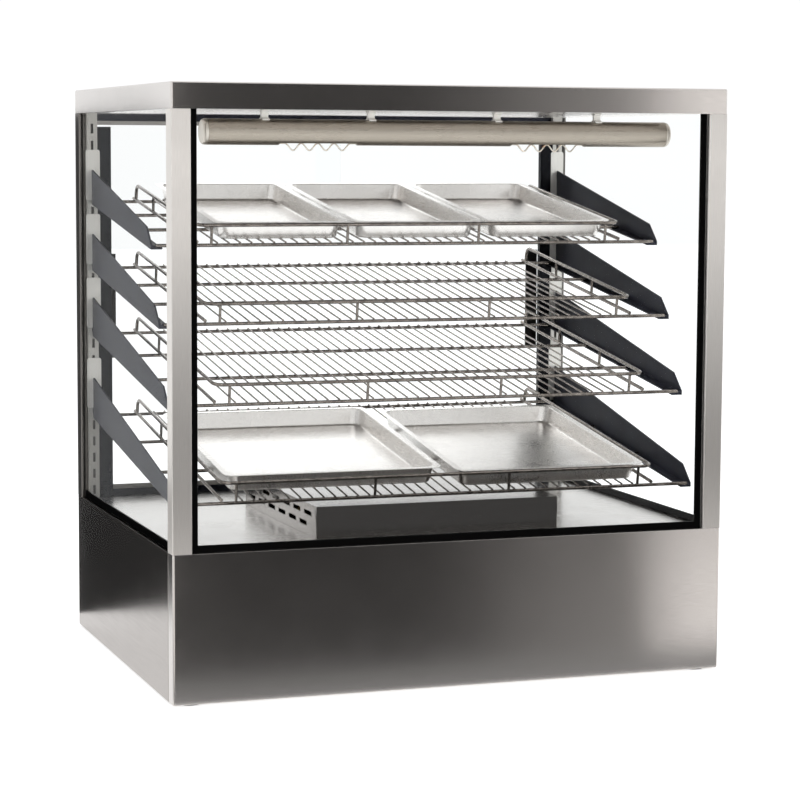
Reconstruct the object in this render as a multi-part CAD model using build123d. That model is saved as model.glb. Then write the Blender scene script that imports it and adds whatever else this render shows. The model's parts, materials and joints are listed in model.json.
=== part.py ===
from build123d import *

import math
import os

# Heated display counter. Millimetres, +Z up, front towards -Y, left is -X.
# The origin is the centre of the footprint on the surface the feet stand on.

# Overall sizes
WIDTH = 800.0
DEPTH = 600.0
HEIGHT = 825.0
BASE_TOP = 205.0
ROOF_HEIGHT = 35.0
FOOT_HEIGHT = 3.0
SHEET = 1.2
BEND = 3.0
FOLD = 24.0

# Flat sides that stand for a small round form
ROD_SIDES = 6
WIRE_SIDES = 4
TURNED_SIDES = 16
BEND_CHORDS = 3

# Corner posts, glass and black edge seals
POST = 27.0
POST_WALL = 1.5
POST_EDGE = 1.0
GLASS = 6.0
GLASS_EDGE = 0.5
GLASS_INSET = 3.0
SEAL_WIDTH = 10.0
SEAL = 2.0

# Feet
FOOT_DIAMETER = 40.0
FOOT_INSET = 28.0

# Rear sliding doors and their double tracks
TRACK_WALL = 2.0
TRACK_GROOVE = 9.0
TRACK_INSET = 1.0
TRACK_BOTTOM_HEIGHT = 10.0
TRACK_TOP_HEIGHT = 11.0
TRACK_GAP = 1.0
DOOR_OVERLAP = 36.0
DOOR_GLASS = 5.0
DOOR_RAIL = 7.0
DOOR_RAIL_HEIGHT = 14.0
DOOR_RAIL_BITE = 5.0
DOOR_SEAT = 0.3
HANDLE_WIDTH = 20.0
HANDLE_HEIGHT = 160.0
HANDLE_INSET = 12.0
HANDLE_PROUD = 3.0
HANDLE_CREST = 2.0
HANDLE_LEAF = 1.0
HANDLE_GRIP = 12.0

# Slotted standards and black uprights at the rear corners
STANDARD_GAP = 3.0
STANDARD_WIDTH = 16.0
STANDARD_DEPTH = 8.0
STANDARD_SHEET = 1.5
SLOT_PITCH = 25.0
SLOT_HEIGHT = 14.0
SLOT_WIDTH = 4.0
FIRST_SLOT = 12.0
UPRIGHT_WIDTH = 20.5
UPRIGHT_DEPTH = 10.0
UPRIGHT_SHEET = 1.5
UPRIGHT_DROP = 20.0
UPRIGHT_GAP = 0.3

# Sloping shelf brackets, top shelf first: slot that holds the lower hook, and nose behind the counter's front
BRACKET_SLOTS = (18, 14, 10, 5)
BRACKET_SETBACKS = (184.0, 140.0, 92.0, 58.0)
SHELF_SLOPE = 8.0
BRACKET_TOP_SLOPE = 12.0
BRACKET_SHEET = 2.5
BRACKET_NOSE_BACK = 26.0
BRACKET_NOSE_HEIGHT = 27.0
BRACKET_HOOK_UP = 14.0
BRACKET_FLANGE = 14.0
BRACKET_FLANGE_SHEET = 2.0
BRACKET_LIP = 6.0
HOOK_HEIGHT = 10.0
HOOK_DROP = 5.0
HOOK_SHEET = 2.0
HOOK_GAP = 0.4

# Welded wire shelves
RAIL = 5.0
WIRE = 2.5
STRUT = 4.0
WIRE_PITCH = 16.5
WIRES_PER_SIDE = 18
WELD = 0.02
SHELF_SEAT = 0.3
SHELF_REAR_GAP = 6.0
RAIL_SIDE_GAP = 4.5
FENCE_HALF_WIDTH = 318.0
FENCE_HEIGHT = 28.0
FENCE_CORNER = 14.0
FENCE_REAR_GAP = 14.0
STRUTS_IN_PITCHES = (6, 18)
SIDE_STRUTS = 2
CROSS_RODS = 2

# Serving trays on the top and the lowest shelf: centre, width and distance behind the front rail of each
TOP_TRAYS = ((-193.0, 196.0, 5.0), (9.0, 196.0, 5.0), (211.0, 196.0, 5.0))
LOWER_TRAYS = ((-148.0, 316.0, 27.0), (167.0, 286.0, 5.0))
TRAY_END_GAP = 14.6
TRAY_HEIGHT = 25.0
TRAY_SHEET = 1.0
TRAY_RIM = 8.0
TRAY_LEAN = 4.0
TRAY_CORNER = 14.0
TRAY_SEAT = 0.3

# Lamp under the roof
LAMP_RADIUS = 17.5
LAMP_WALL = 1.2
LAMP_SIDES = 24
LAMP_END_GAP = 66.0
LAMP_SETBACK = 73.0
LAMP_DROP = 29.0
LAMP_CAP = 8.0
LAMP_CAP_TAPER = 35.0
FITTING_SHIFT = -10.5
WINDOW_SPREAD = 167.5
WINDOW_LENGTH = 112.0
WINDOW_HALF_WIDTH = 14.5
HANGER_SPREADS = (92.0, 242.5)
HANGER_WIDTH = 10.0
HANGER_SHEET = 3.0
HANGER_FOOT = 16.0
TUBE_DIAMETER = 8.0
TUBE_LENGTH = 102.0
HOLDER_LENGTH = 13.0
HOLDER_WIDTH = 12.0
HOLDER_BITE = 6.0
GUARD_WIRE = 2.0
GUARD_SEAT = 0.3
GUARD_WAVES = 4
GUARD_PITCH = 23.2
GUARD_RISE = 9.5
GUARD_TIP = 1.5
GUARD_REST = 4.0

# Heater cover on the deck
COVER_WIDTH = 360.0
COVER_SETBACK = 72.0
COVER_DEPTH = 358.0
COVER_HEIGHT = 45.0
COVER_SLOTS = 6
COVER_SLOT_LENGTH = 34.0
COVER_SLOT_HEIGHT = 6.0
COVER_SLOT_PITCH = 52.0
COVER_SLOT_ROWS = ((16.0, 11.0), (32.0, -11.0))

# Heating element and fan
ELEMENT_DIAMETER = 8.0
ELEMENT_HALF_WIDTH = 120.0
ELEMENT_PITCH = 60.0
ELEMENT_LIFT = 18.0
ELEMENT_TAIL = 30.0
ELEMENT_HOLE_GAP = 0.3
ELEMENT_BEND = 14.0
FAN_Y = -20.0
FAN_SIZE = 80.0
FAN_DEPTH = 25.0
FAN_BORE = 74.0
FAN_DROP = 12.0
FAN_HUB = 30.0
FAN_SPOKE = 5.0
FAN_SIDES = 24
FAN_BLADES = 7
FAN_BLADE_GAP = 2.0
FAN_BLADE_SHEET = 1.5
FAN_BLADE_PITCH = 35.0
FAN_BLADE_FILL = 0.8
FAN_MOTOR_HEIGHT = 7.5
FAN_SHAFT = 4.0
FAN_SHAFT_GAP = 0.05
FAN_STAND = 10.0
DECK_SLOTS = 9
DECK_SLOT_LENGTH = 64.0
DECK_SLOT_WIDTH = 4.0
DECK_SLOT_PITCH = 8.0

# Rear panel, louvres and the recessed controls
PANEL_INSET = 3.0
CONTROL_INSET = 160.0
CONTROL_Z = 110.0
CONTROL_WIDTH = 220.0
CONTROL_HEIGHT = 100.0
CONTROL_DEPTH = 35.0
LOUVRE_INSET = 230.0
LOUVRE_Z = 110.0
LOUVRES = 10
LOUVRE_LENGTH = 70.0
LOUVRE_WIDTH = 5.0
LOUVRE_PITCH = 12.0
LOUVRE_GROUPS = 2
LOUVRE_GROUP_PITCH = 96.0
SCREW_HEAD = 8.0
SCREW_HEAD_HEIGHT = 2.0
SCREW_SHANK = 4.0
SCREW_LENGTH = 8.0
SCREW_INSET_X = 70.0
SCREW_INSET_Z = 13.0
THERMOSTAT_X = 66.0
KNOB_DIAMETER = 44.0
KNOB_DEPTH = 20.0
KNOB_GAP = 1.0
KNOB_FLUTES = 8
KNOB_FLUTE = 2.0
KNOB_POINTER = 3.0
KNOB_POINTER_LENGTH = 17.5
KNOB_POINTER_PROUD = 1.0
KNOB_CAP = 3.0
SPINDLE_DIAMETER = 6.0
SPINDLE_GAP = 0.05
SPINDLE_BITE = 12.0
THERMOSTAT_WIDTH = 42.0
THERMOSTAT_HEIGHT = 36.0
THERMOSTAT_DEPTH = 32.0
SWITCH_XS = (-4.0, -44.0)
SWITCH_BEZEL_WIDTH = 21.0
SWITCH_BEZEL_HEIGHT = 31.0
SWITCH_BEZEL = 2.0
SWITCH_BODY_DEPTH = 22.0
SWITCH_BODY_INSET = 2.0
ROCKER_WIDTH = 14.0
ROCKER_RADIUS = 12.0
ROCKER_GAP = 0.4
ROCKER_TILT = 10.0
ROCKER_PROUD = 4.0
PILOT_X = 25.0
PILOT_Z = 30.0
PILOT_DIAMETER = 12.0
PILOT_GAP = 0.3
PILOT_RIM = 2.0
GLAND_X = -84.0
GLAND_Z = -20.0
GLAND_BORE = 9.0
GLAND_THREAD = 20.0
GLAND_HEX = 27.0
GLAND_HEX_DEPTH = 6.0
GLAND_DOME = 15.0
GLAND_TAIL = 12.0
GLAND_GAP = 0.3
GLAND_STEP = 1.5
GLAND_TAPER = 12.0
TERMINALS = 5
TERMINAL_PITCH = 12.0
TERMINAL_WIDTH = 20.0
TERMINAL_HEIGHT = 16.0
TERMINAL_BARREL = 7.0

# Places worked out from the sizes above
HALF_W = WIDTH / 2
HALF_D = DEPTH / 2
ROOF_BOTTOM = HEIGHT - ROOF_HEIGHT
TAN_SHELF = math.tan(math.radians(SHELF_SLOPE))
TAN_TOP = math.tan(math.radians(BRACKET_TOP_SLOPE))
RAIL_CORNER = RAIL / 2 / math.cos(math.pi / ROD_SIDES)
LAMP_Z = ROOF_BOTTOM - LAMP_DROP
LAMP_Y = -HALF_D + LAMP_SETBACK
LAMP_HALF_LENGTH = HALF_W - LAMP_END_GAP
COVER_FRONT_Y = -HALF_D + COVER_SETBACK
CONTROL_X = HALF_W - CONTROL_INSET
LOUVRE_X = -HALF_W + LOUVRE_INSET
PANEL_Y = HALF_D - PANEL_INSET
CONTROL_FACE_Y = PANEL_Y - CONTROL_DEPTH + SHEET
TRACK_FRONT_Y = HALF_D - TRACK_INSET - 2 * TRACK_GROOVE - 3 * TRACK_WALL
GROOVE_YS = (
    TRACK_FRONT_Y + TRACK_WALL + TRACK_GROOVE / 2,
    TRACK_FRONT_Y + 2 * TRACK_WALL + 1.5 * TRACK_GROOVE,
)
OPENING_HALF_WIDTH = HALF_W - POST
STANDARD_FACE_Y = TRACK_FRONT_Y - STANDARD_GAP - UPRIGHT_DEPTH
STANDARD_CENTRE_X = HALF_W - GLASS_INSET - GLASS - STANDARD_GAP - STANDARD_WIDTH / 2
BRACKET_REACHES = [STANDARD_FACE_Y + HALF_D - setback for setback in BRACKET_SETBACKS]
BRACKET_INNER_X = STANDARD_CENTRE_X - BRACKET_SHEET / 2
RAIL_HALF_WIDTH = BRACKET_INNER_X - RAIL_SIDE_GAP
DOOR_BOTTOM = BASE_TOP + TRACK_WALL + DOOR_SEAT
DOOR_TOP = ROOF_BOTTOM - TRACK_WALL - TRACK_GAP
DOOR_SPAN = (-OPENING_HALF_WIDTH + TRACK_GAP, DOOR_OVERLAP / 2)
FAN_TOP = BASE_TOP - SHEET - FAN_DROP
FAN_BOTTOM = FAN_TOP - FAN_DEPTH


def block(x0, x1, y0, y1, z0, z1):
    """A box between two corners."""
    centre = Pos((x0 + x1) / 2, (y0 + y1) / 2, (z0 + z1) / 2)
    return centre * Box(abs(x1 - x0), abs(y1 - y0), abs(z1 - z0))


def flat_sided(diameter, sides=TURNED_SIDES):
    """The many-sided outline of a small round form, with its flats across the diameter."""
    return RegularPolygon(diameter / 2, sides, major_radius=False, rotation=180 / sides)


def rod(start, end, diameter, sides=ROD_SIDES):
    """A straight bar from one point to another, with a flat side facing up."""
    direction = Vector(*end) - Vector(*start)
    level = abs(direction.Z) < direction.length / 2
    place = Plane(origin=start, x_dir=(0, 0, 1) if level else (1, 0, 0), z_dir=direction)
    return extrude(place * flat_sided(diameter, sides), direction.length)


def bent_rod(points, diameter, bend, sides=ROD_SIDES):
    """A bar along square turns between points, each turn rounded with a few short chords."""
    corners = [Vector(*point) for point in points]
    path = [corners[0]]
    for before, corner, after in zip(corners, corners[1:], corners[2:]):
        back = (before - corner).normalized() * bend
        ahead = (after - corner).normalized() * bend
        for step in range(BEND_CHORDS + 1):
            angle = math.radians(90 * step / BEND_CHORDS)
            path.append(corner + back + ahead - ahead * math.cos(angle) - back * math.sin(angle))
    path.append(corners[-1])
    place = Plane(origin=corners[0], x_dir=corners[2] - corners[1], z_dir=corners[1] - corners[0])
    return sweep(place * flat_sided(diameter, sides), path=Polyline(*path), transition=Transition.RIGHT)


def round_hole(x, y, z, diameter, length):
    """A tool for a hole along Y."""
    return Pos(x, y, z) * Rot(90, 0, 0) * Cylinder(diameter / 2, length)


def mirrored(shape):
    """The same piece on the other side of the counter."""
    return mirror(shape, about=Plane.YZ)


def folded_tray(x0, x1, y0, y1, z0, z1, open_axis, open_last):
    """A sheet-metal tray with rounded upright folds, hollow and open on one side."""
    body = block(x0, x1, y0, y1, z0, z1)
    upright = body.edges().filter_by(Axis.Z)
    if open_axis != Axis.Z:
        upright = upright.sort_by(open_axis)[:2] if open_last else upright.sort_by(open_axis)[2:]
    body = fillet(upright, BEND)
    open_face = body.faces().filter_by(Plane(origin=(0, 0, 0), z_dir=open_axis.direction))
    open_face = open_face.sort_by(open_axis)[-1 if open_last else 0]
    return offset(body, amount=-SHEET, openings=open_face, kind=Kind.INTERSECTION)


# Base

def base_front_panel():
    """The front of the base, wrapped round both front corners."""
    return folded_tray(-HALF_W, HALF_W, -HALF_D, -HALF_D + FOLD, FOOT_HEIGHT, BASE_TOP, Axis.Y, True)


def base_side_panel_left():
    """The left side of the base, folded in all round."""
    return folded_tray(-HALF_W, -HALF_W + FOLD, -HALF_D + FOLD, HALF_D, FOOT_HEIGHT, BASE_TOP, Axis.X, True)


def base_floor():
    """The flat bottom plate, flush between the folds of the panels."""
    half = HALF_W - FOLD
    return block(-half, half, -HALF_D + FOLD, PANEL_Y - SHEET, FOOT_HEIGHT, FOOT_HEIGHT + SHEET)


def deck():
    """The bright floor of the cabinet, slotted over the fan and drilled for the element."""
    half = HALF_W - FOLD
    plate = block(-half, half, -HALF_D + FOLD, HALF_D - TRACK_INSET, BASE_TOP - SHEET, BASE_TOP)
    slot = Rectangle(DECK_SLOT_WIDTH, DECK_SLOT_LENGTH)
    slots = Sketch() + GridLocations(DECK_SLOT_PITCH, 1, DECK_SLOTS, 1) * slot
    plate -= Pos(0, FAN_Y, BASE_TOP) * extrude(slots, 2 * SHEET, both=True)
    for x, y in element_tails():
        hole = flat_sided(ELEMENT_DIAMETER / math.cos(math.pi / ROD_SIDES) + 2 * ELEMENT_HOLE_GAP)
        plate -= Pos(x, y, BASE_TOP) * extrude(hole, 2 * SHEET, both=True)
    return plate


def rear_panel():
    """The rear plate of the base, with vent slots and the window for the controls."""
    half = HALF_W - FOLD
    plate = block(-half, half, PANEL_Y - SHEET, PANEL_Y, FOOT_HEIGHT + SHEET, BASE_TOP - SHEET)
    plate -= block(
        CONTROL_X - CONTROL_WIDTH / 2, CONTROL_X + CONTROL_WIDTH / 2,
        PANEL_Y - 2 * SHEET, PANEL_Y + SHEET,
        CONTROL_Z - CONTROL_HEIGHT / 2, CONTROL_Z + CONTROL_HEIGHT / 2,
    )
    face = Plane(origin=(LOUVRE_X, PANEL_Y, LOUVRE_Z), x_dir=(1, 0, 0), z_dir=(0, -1, 0))
    places = GridLocations(LOUVRE_GROUP_PITCH, LOUVRE_PITCH, LOUVRE_GROUPS, LOUVRES)
    slots = Sketch() + places * Rectangle(LOUVRE_LENGTH, LOUVRE_WIDTH)
    plate -= extrude(face * slots, 2 * SHEET, both=True)
    for x, z in panel_screw_places():
        plate -= rod((x, PANEL_Y - 2 * SHEET, z), (x, PANEL_Y + SHEET, z), SCREW_SHANK)
    return plate


def panel_screw_places():
    """Centres of the six screws of the rear panel."""
    columns = (-HALF_W + SCREW_INSET_X, 0.0, HALF_W - SCREW_INSET_X)
    rows = (FOOT_HEIGHT + SCREW_INSET_Z, BASE_TOP - SCREW_INSET_Z)
    return [(x, z) for x in columns for z in rows]


def panel_screws():
    """Six low-headed screws that hold the rear panel."""
    screws = []
    for x, z in panel_screw_places():
        head = rod((x, PANEL_Y, z), (x, PANEL_Y + SCREW_HEAD_HEIGHT, z), SCREW_HEAD)
        shank = rod((x, PANEL_Y - SCREW_LENGTH, z), (x, PANEL_Y, z), SCREW_SHANK)
        screws.append(head + shank)
    return Compound(screws)


def feet():
    """Four low rubber pads."""
    pad = extrude(flat_sided(FOOT_DIAMETER), FOOT_HEIGHT)
    places = GridLocations(WIDTH - 2 * FOOT_INSET, DEPTH - 2 * FOOT_INSET, 2, 2)
    return Compound([place * pad for place in places])


# Corner posts, roof and glass

def post(left, rear):
    """One square corner tube between base and roof."""
    x = (-1 if left else 1) * (HALF_W - POST / 2)
    y = (1 if rear else -1) * (HALF_D - POST / 2)
    section = chamfer(Rectangle(POST, POST).vertices(), POST_EDGE)
    section -= Rectangle(POST - 2 * POST_WALL, POST - 2 * POST_WALL)
    return Pos(x, y, BASE_TOP) * extrude(section, ROOF_BOTTOM - BASE_TOP)


def roof_cap():
    """The folded stainless roof, open underneath."""
    return folded_tray(-HALF_W, HALF_W, -HALF_D, HALF_D, ROOF_BOTTOM, HEIGHT, Axis.Z, False)


def ceiling_panel():
    """The sheet that closes the roof from below."""
    half_w = HALF_W - SHEET
    half_d = HALF_D - SHEET
    outline = chamfer(Rectangle(2 * half_w, 2 * half_d).vertices(), BEND)
    plate = Pos(0, 0, ROOF_BOTTOM) * extrude(outline, SHEET)
    for x in hanger_places():
        plate -= Pos(x, LAMP_Y, ROOF_BOTTOM) * extrude(flat_sided(SCREW_SHANK, ROD_SIDES), SHEET)
    return plate


def front_glass():
    """The upright front pane between the posts."""
    y0 = -HALF_D + GLASS_INSET
    pane = block(-OPENING_HALF_WIDTH, OPENING_HALF_WIDTH, y0, y0 + GLASS, BASE_TOP, ROOF_BOTTOM)
    return chamfer(pane.edges().filter_by(Axis.Z), GLASS_EDGE)


def side_glass_left():
    """The left pane between its posts."""
    x0 = -HALF_W + GLASS_INSET
    half = HALF_D - POST
    pane = block(x0, x0 + GLASS, -half, half, BASE_TOP, ROOF_BOTTOM)
    return chamfer(pane.edges().filter_by(Axis.Z), GLASS_EDGE)


def front_seal():
    """The black edge seal behind the front pane, along its bottom and both sides."""
    y0 = -HALF_D + GLASS_INSET + GLASS
    seal = block(-OPENING_HALF_WIDTH, OPENING_HALF_WIDTH, y0, y0 + SEAL, BASE_TOP, ROOF_BOTTOM)
    opening = OPENING_HALF_WIDTH - SEAL_WIDTH
    return seal - block(-opening, opening, y0, y0 + SEAL, BASE_TOP + SEAL_WIDTH, ROOF_BOTTOM)


def side_seal_left():
    """The black strip along the bottom of the left pane, inside."""
    x0 = -HALF_W + GLASS_INSET + GLASS
    half = HALF_D - POST
    return block(x0, x0 + SEAL, -half, half, BASE_TOP, BASE_TOP + SEAL_WIDTH)


# Rear doors

def door_track(bottom):
    """A double-groove track across the rear opening."""
    height = TRACK_BOTTOM_HEIGHT if bottom else TRACK_TOP_HEIGHT
    z0 = BASE_TOP if bottom else ROOF_BOTTOM - height
    depth = 2 * TRACK_GROOVE + 3 * TRACK_WALL
    track = block(
        -OPENING_HALF_WIDTH, OPENING_HALF_WIDTH, TRACK_FRONT_Y, TRACK_FRONT_Y + depth, z0, z0 + height
    )
    for y in GROOVE_YS:
        floor = z0 + TRACK_WALL if bottom else z0 - TRACK_WALL
        roof = z0 + height + TRACK_WALL if bottom else z0 + height - TRACK_WALL
        track -= block(
            -OPENING_HALF_WIDTH, OPENING_HALF_WIDTH,
            y - TRACK_GROOVE / 2, y + TRACK_GROOVE / 2, floor, roof,
        )
    return track


def door_span(left):
    """Left and right ends of a door at rest."""
    low, high = DOOR_SPAN
    return (low, high) if left else (-high, -low)


def door_glass(left):
    """One sliding pane; the left one runs in the inner groove."""
    x0, x1 = door_span(left)
    y = GROOVE_YS[0 if left else 1]
    z0 = DOOR_BOTTOM + DOOR_RAIL_HEIGHT - DOOR_RAIL_BITE
    z1 = DOOR_TOP - DOOR_RAIL_HEIGHT + DOOR_RAIL_BITE
    return block(x0, x1, y - DOOR_GLASS / 2, y + DOOR_GLASS / 2, z0, z1)


def door_fittings(left):
    """The two channel rails that grip a pane, and its finger pull."""
    x0, x1 = door_span(left)
    y = GROOVE_YS[0 if left else 1]
    rails = []
    for z0 in (DOOR_BOTTOM, DOOR_TOP - DOOR_RAIL_HEIGHT):
        rail = block(x0, x1, y - DOOR_RAIL / 2, y + DOOR_RAIL / 2, z0, z0 + DOOR_RAIL_HEIGHT)
        rails.append(rail - door_glass(left))
    return Compound(rails + [door_handle(left)])


def door_handle(left):
    """An angled finger pull fixed flat on the outer face of a pane."""
    x0, x1 = door_span(left)
    outer = x0 if left else x1
    inward = 1 if left else -1
    y = GROOVE_YS[0 if left else 1] + DOOR_GLASS / 2
    near = outer + inward * HANDLE_INSET
    far = near + inward * HANDLE_WIDTH
    profile = Plane.XY * Polyline(
        (near, y), (far, y), (far, y + HANDLE_LEAF), (far - inward * HANDLE_GRIP, y + HANDLE_LEAF),
        (near + inward * HANDLE_CREST, y + HANDLE_PROUD), (near, y + HANDLE_PROUD),
        close=True,
    )
    middle = (DOOR_BOTTOM + DOOR_TOP) / 2
    return Pos(0, 0, middle - HANDLE_HEIGHT / 2) * extrude(make_face(profile), HANDLE_HEIGHT, dir=(0, 0, 1))


# Shelf supports

def slot_heights():
    """Centres of the slots of a standard."""
    count = int((ROOF_BOTTOM - BASE_TOP - 2 * FIRST_SLOT) // SLOT_PITCH) + 1
    return [BASE_TOP + FIRST_SLOT + SLOT_PITCH * step for step in range(count)]


def standard_left():
    """A slotted channel strip in the rear left corner, facing the front."""
    x0 = -STANDARD_CENTRE_X - STANDARD_WIDTH / 2
    x1 = x0 + STANDARD_WIDTH
    y0 = STANDARD_FACE_Y
    strip = block(x0, x1, y0, y0 + STANDARD_DEPTH, BASE_TOP, ROOF_BOTTOM)
    strip -= block(
        x0 + STANDARD_SHEET, x1 - STANDARD_SHEET,
        y0 + STANDARD_SHEET, y0 + STANDARD_DEPTH, BASE_TOP, ROOF_BOTTOM,
    )
    middle = (BASE_TOP + ROOF_BOTTOM) / 2
    face = Plane(origin=(-STANDARD_CENTRE_X, y0, middle), x_dir=(1, 0, 0), z_dir=(0, 1, 0))
    slots = Sketch()
    for z in slot_heights():
        slots += Pos(0, middle - z) * Rectangle(SLOT_WIDTH, SLOT_HEIGHT)
    return strip - extrude(face * slots, STANDARD_SHEET)


def upright_left():
    """The black channel beside the standard that closes the corner."""
    x0 = -STANDARD_CENTRE_X + STANDARD_WIDTH / 2 + UPRIGHT_GAP
    x1 = x0 + UPRIGHT_WIDTH
    y0 = STANDARD_FACE_Y
    top = ROOF_BOTTOM - UPRIGHT_DROP
    channel = block(x0, x1, y0, y0 + UPRIGHT_DEPTH, BASE_TOP, top)
    return channel - block(
        x0 + UPRIGHT_SHEET, x1 - UPRIGHT_SHEET, y0 + UPRIGHT_SHEET, y0 + UPRIGHT_DEPTH, BASE_TOP, top
    )


def bracket_root(level):
    """Height of the lower rear corner of a bracket."""
    return slot_heights()[BRACKET_SLOTS[level]] - BRACKET_HOOK_UP


def bracket_nose(level):
    """Y and Z of the lower front corner of a bracket."""
    reach = BRACKET_REACHES[level]
    return STANDARD_FACE_Y - reach, bracket_root(level) - reach * TAN_SHELF


def bracket_left(level):
    """A sloping side plate with a bottom flange for the shelf, a front lip and two rear hooks."""
    y_nose, z_nose = bracket_nose(level)
    z_root = bracket_root(level)
    y_corner = y_nose + BRACKET_NOSE_BACK
    z_corner = z_nose + BRACKET_NOSE_BACK * TAN_SHELF + BRACKET_NOSE_HEIGHT
    z_top = z_corner + (STANDARD_FACE_Y - y_corner) * TAN_TOP
    outline = Polyline(
        (y_nose, z_nose), (STANDARD_FACE_Y, z_root), (STANDARD_FACE_Y, z_top),
        (y_corner, z_corner), (y_nose, z_nose + BRACKET_LIP),
        close=True,
    )
    x0 = -STANDARD_CENTRE_X - BRACKET_SHEET / 2
    side = Plane(origin=(x0, 0, 0), x_dir=(0, 1, 0), z_dir=(1, 0, 0))
    plate = extrude(make_face(side * outline), BRACKET_SHEET)
    flange_outline = Polyline(
        (y_nose, z_nose), (STANDARD_FACE_Y, z_root), (STANDARD_FACE_Y, z_root + BRACKET_FLANGE_SHEET),
        (y_nose + BRACKET_FLANGE_SHEET, z_nose + BRACKET_FLANGE_SHEET * (1 + TAN_SHELF)),
        (y_nose + BRACKET_FLANGE_SHEET, z_nose + BRACKET_LIP), (y_nose, z_nose + BRACKET_LIP),
        close=True,
    )
    plate += extrude(make_face(side * flange_outline), BRACKET_SHEET + BRACKET_FLANGE)
    for step in (0, 1):
        z = z_root + BRACKET_HOOK_UP + step * SLOT_PITCH
        neck_top = z + SLOT_HEIGHT / 2 - HOOK_GAP
        neck_bottom = neck_top - HOOK_HEIGHT
        behind = STANDARD_FACE_Y + STANDARD_SHEET + HOOK_GAP
        plate += block(x0, x0 + BRACKET_SHEET, STANDARD_FACE_Y, behind + HOOK_SHEET, neck_bottom, neck_top)
        plate += block(x0, x0 + BRACKET_SHEET, behind, behind + HOOK_SHEET, neck_bottom - HOOK_DROP, neck_top)
    return plate


# Wire shelves

def shelf_length(level):
    """Distance between the front and rear rails, along the slope."""
    run = BRACKET_REACHES[level] - BRACKET_FLANGE_SHEET - RAIL - SHELF_REAR_GAP
    return run / math.cos(math.radians(SHELF_SLOPE))


def top_rail(length):
    """The bent top rail: across the front, back along both sides and down at the rear."""
    back = length - FENCE_REAR_GAP
    foot = RAIL + RAIL / 2 + 2 * WELD
    corners = (
        (-FENCE_HALF_WIDTH, back, foot), (-FENCE_HALF_WIDTH, back, FENCE_HEIGHT),
        (-FENCE_HALF_WIDTH, 0, FENCE_HEIGHT), (FENCE_HALF_WIDTH, 0, FENCE_HEIGHT),
        (FENCE_HALF_WIDTH, back, FENCE_HEIGHT), (FENCE_HALF_WIDTH, back, foot),
    )
    return bent_rod(corners, RAIL, FENCE_CORNER)


def wire_shelf(level):
    """A welded wire shelf: rails and cross rods, floor wires on them, and a low fence."""
    length = shelf_length(level)
    floor = RAIL / 2 + WIRE / 2 + WELD
    side_rail = RAIL + WELD
    pieces = []
    for step in range(CROSS_RODS + 2):
        y = length * step / (CROSS_RODS + 1)
        pieces.append(rod((-RAIL_HALF_WIDTH, y, 0), (RAIL_HALF_WIDTH, y, 0), RAIL))
    for step in range(-WIRES_PER_SIDE, WIRES_PER_SIDE):
        x = (step + 0.5) * WIRE_PITCH
        pieces.append(rod((x, -RAIL / 4, floor), (x, length + RAIL / 4, floor), WIRE, WIRE_SIDES))
    for side in (-1, 1):
        x = side * FENCE_HALF_WIDTH
        pieces.append(rod((x, -RAIL / 4, side_rail), (x, length + RAIL / 4, side_rail), RAIL))
        for step in range(1, SIDE_STRUTS + 1):
            y = length * step / (SIDE_STRUTS + 1)
            low = side_rail + RAIL / 2 + WELD
            pieces.append(rod((x, y, low), (x, y, FENCE_HEIGHT - RAIL / 2 - WELD), STRUT, WIRE_SIDES))
        for pitches in STRUTS_IN_PITCHES:
            x = side * pitches * WIRE_PITCH
            low = RAIL / 2 + WELD
            pieces.append(rod((x, 0, low), (x, 0, FENCE_HEIGHT - RAIL / 2 - WELD), STRUT, WIRE_SIDES))
    pieces.append(top_rail(length))
    return shelf_place(level) * Compound(pieces)


def shelf_place(level):
    """Where the front rail of a shelf lies, seated on the bracket flanges and tilted."""
    y_nose, z_nose = bracket_nose(level)
    y = y_nose + BRACKET_FLANGE_SHEET + SHELF_SEAT + RAIL_CORNER
    slant = 1 / math.cos(math.radians(SHELF_SLOPE))
    z = z_nose + (y - y_nose) * TAN_SHELF + BRACKET_FLANGE_SHEET + (RAIL / 2 + SHELF_SEAT) * slant
    return Pos(0, y, z) * Rot(SHELF_SLOPE, 0, 0)


# Serving trays

def rounded_outline(width, depth):
    """A rectangle whose corners are rounded with a few short chords."""
    points = []
    for x, y, start in ((1, 1, 0), (-1, 1, 90), (-1, -1, 180), (1, -1, 270)):
        for step in range(BEND_CHORDS + 1):
            angle = math.radians(start + 90 * step / BEND_CHORDS)
            points.append((
                x * (width / 2 - TRAY_CORNER) + TRAY_CORNER * math.cos(angle),
                y * (depth / 2 - TRAY_CORNER) + TRAY_CORNER * math.sin(angle),
            ))
    return make_face(Polyline(*points, close=True))


def leaning_block(width, depth, low):
    """The filled form of a tray inside its rim, from a lower height up to the rim's top."""
    lean = 2 * TRAY_LEAN
    floor = Pos(0, 0, low) * rounded_outline(width - lean, depth - lean)
    return loft([floor, Pos(0, 0, TRAY_HEIGHT) * rounded_outline(width, depth)], ruled=True)


def serving_tray(width, depth):
    """A shallow sheet tray with leaning walls and a flat rim, its underside on Z = 0."""
    rim = Pos(0, 0, TRAY_HEIGHT - TRAY_SHEET) * extrude(rounded_outline(width, depth), TRAY_SHEET)
    outer_width = width - 2 * TRAY_RIM
    outer_depth = depth - 2 * TRAY_RIM
    tray = rim + leaning_block(outer_width, outer_depth, 0)
    return tray - leaning_block(outer_width - 2 * TRAY_SHEET, outer_depth - 2 * TRAY_SHEET, TRAY_SHEET)


def trays(level, places):
    """The trays on the floor wires of a shelf, which move with it."""
    seat = RAIL / 2 + WELD + WIRE + TRAY_SEAT
    depth = shelf_length(0) - TRAY_END_GAP
    made = [Pos(x, gap + depth / 2, seat) * serving_tray(width, depth) for x, width, gap in places]
    return shelf_place(level) * Compound(made)


# Lamp

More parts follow.
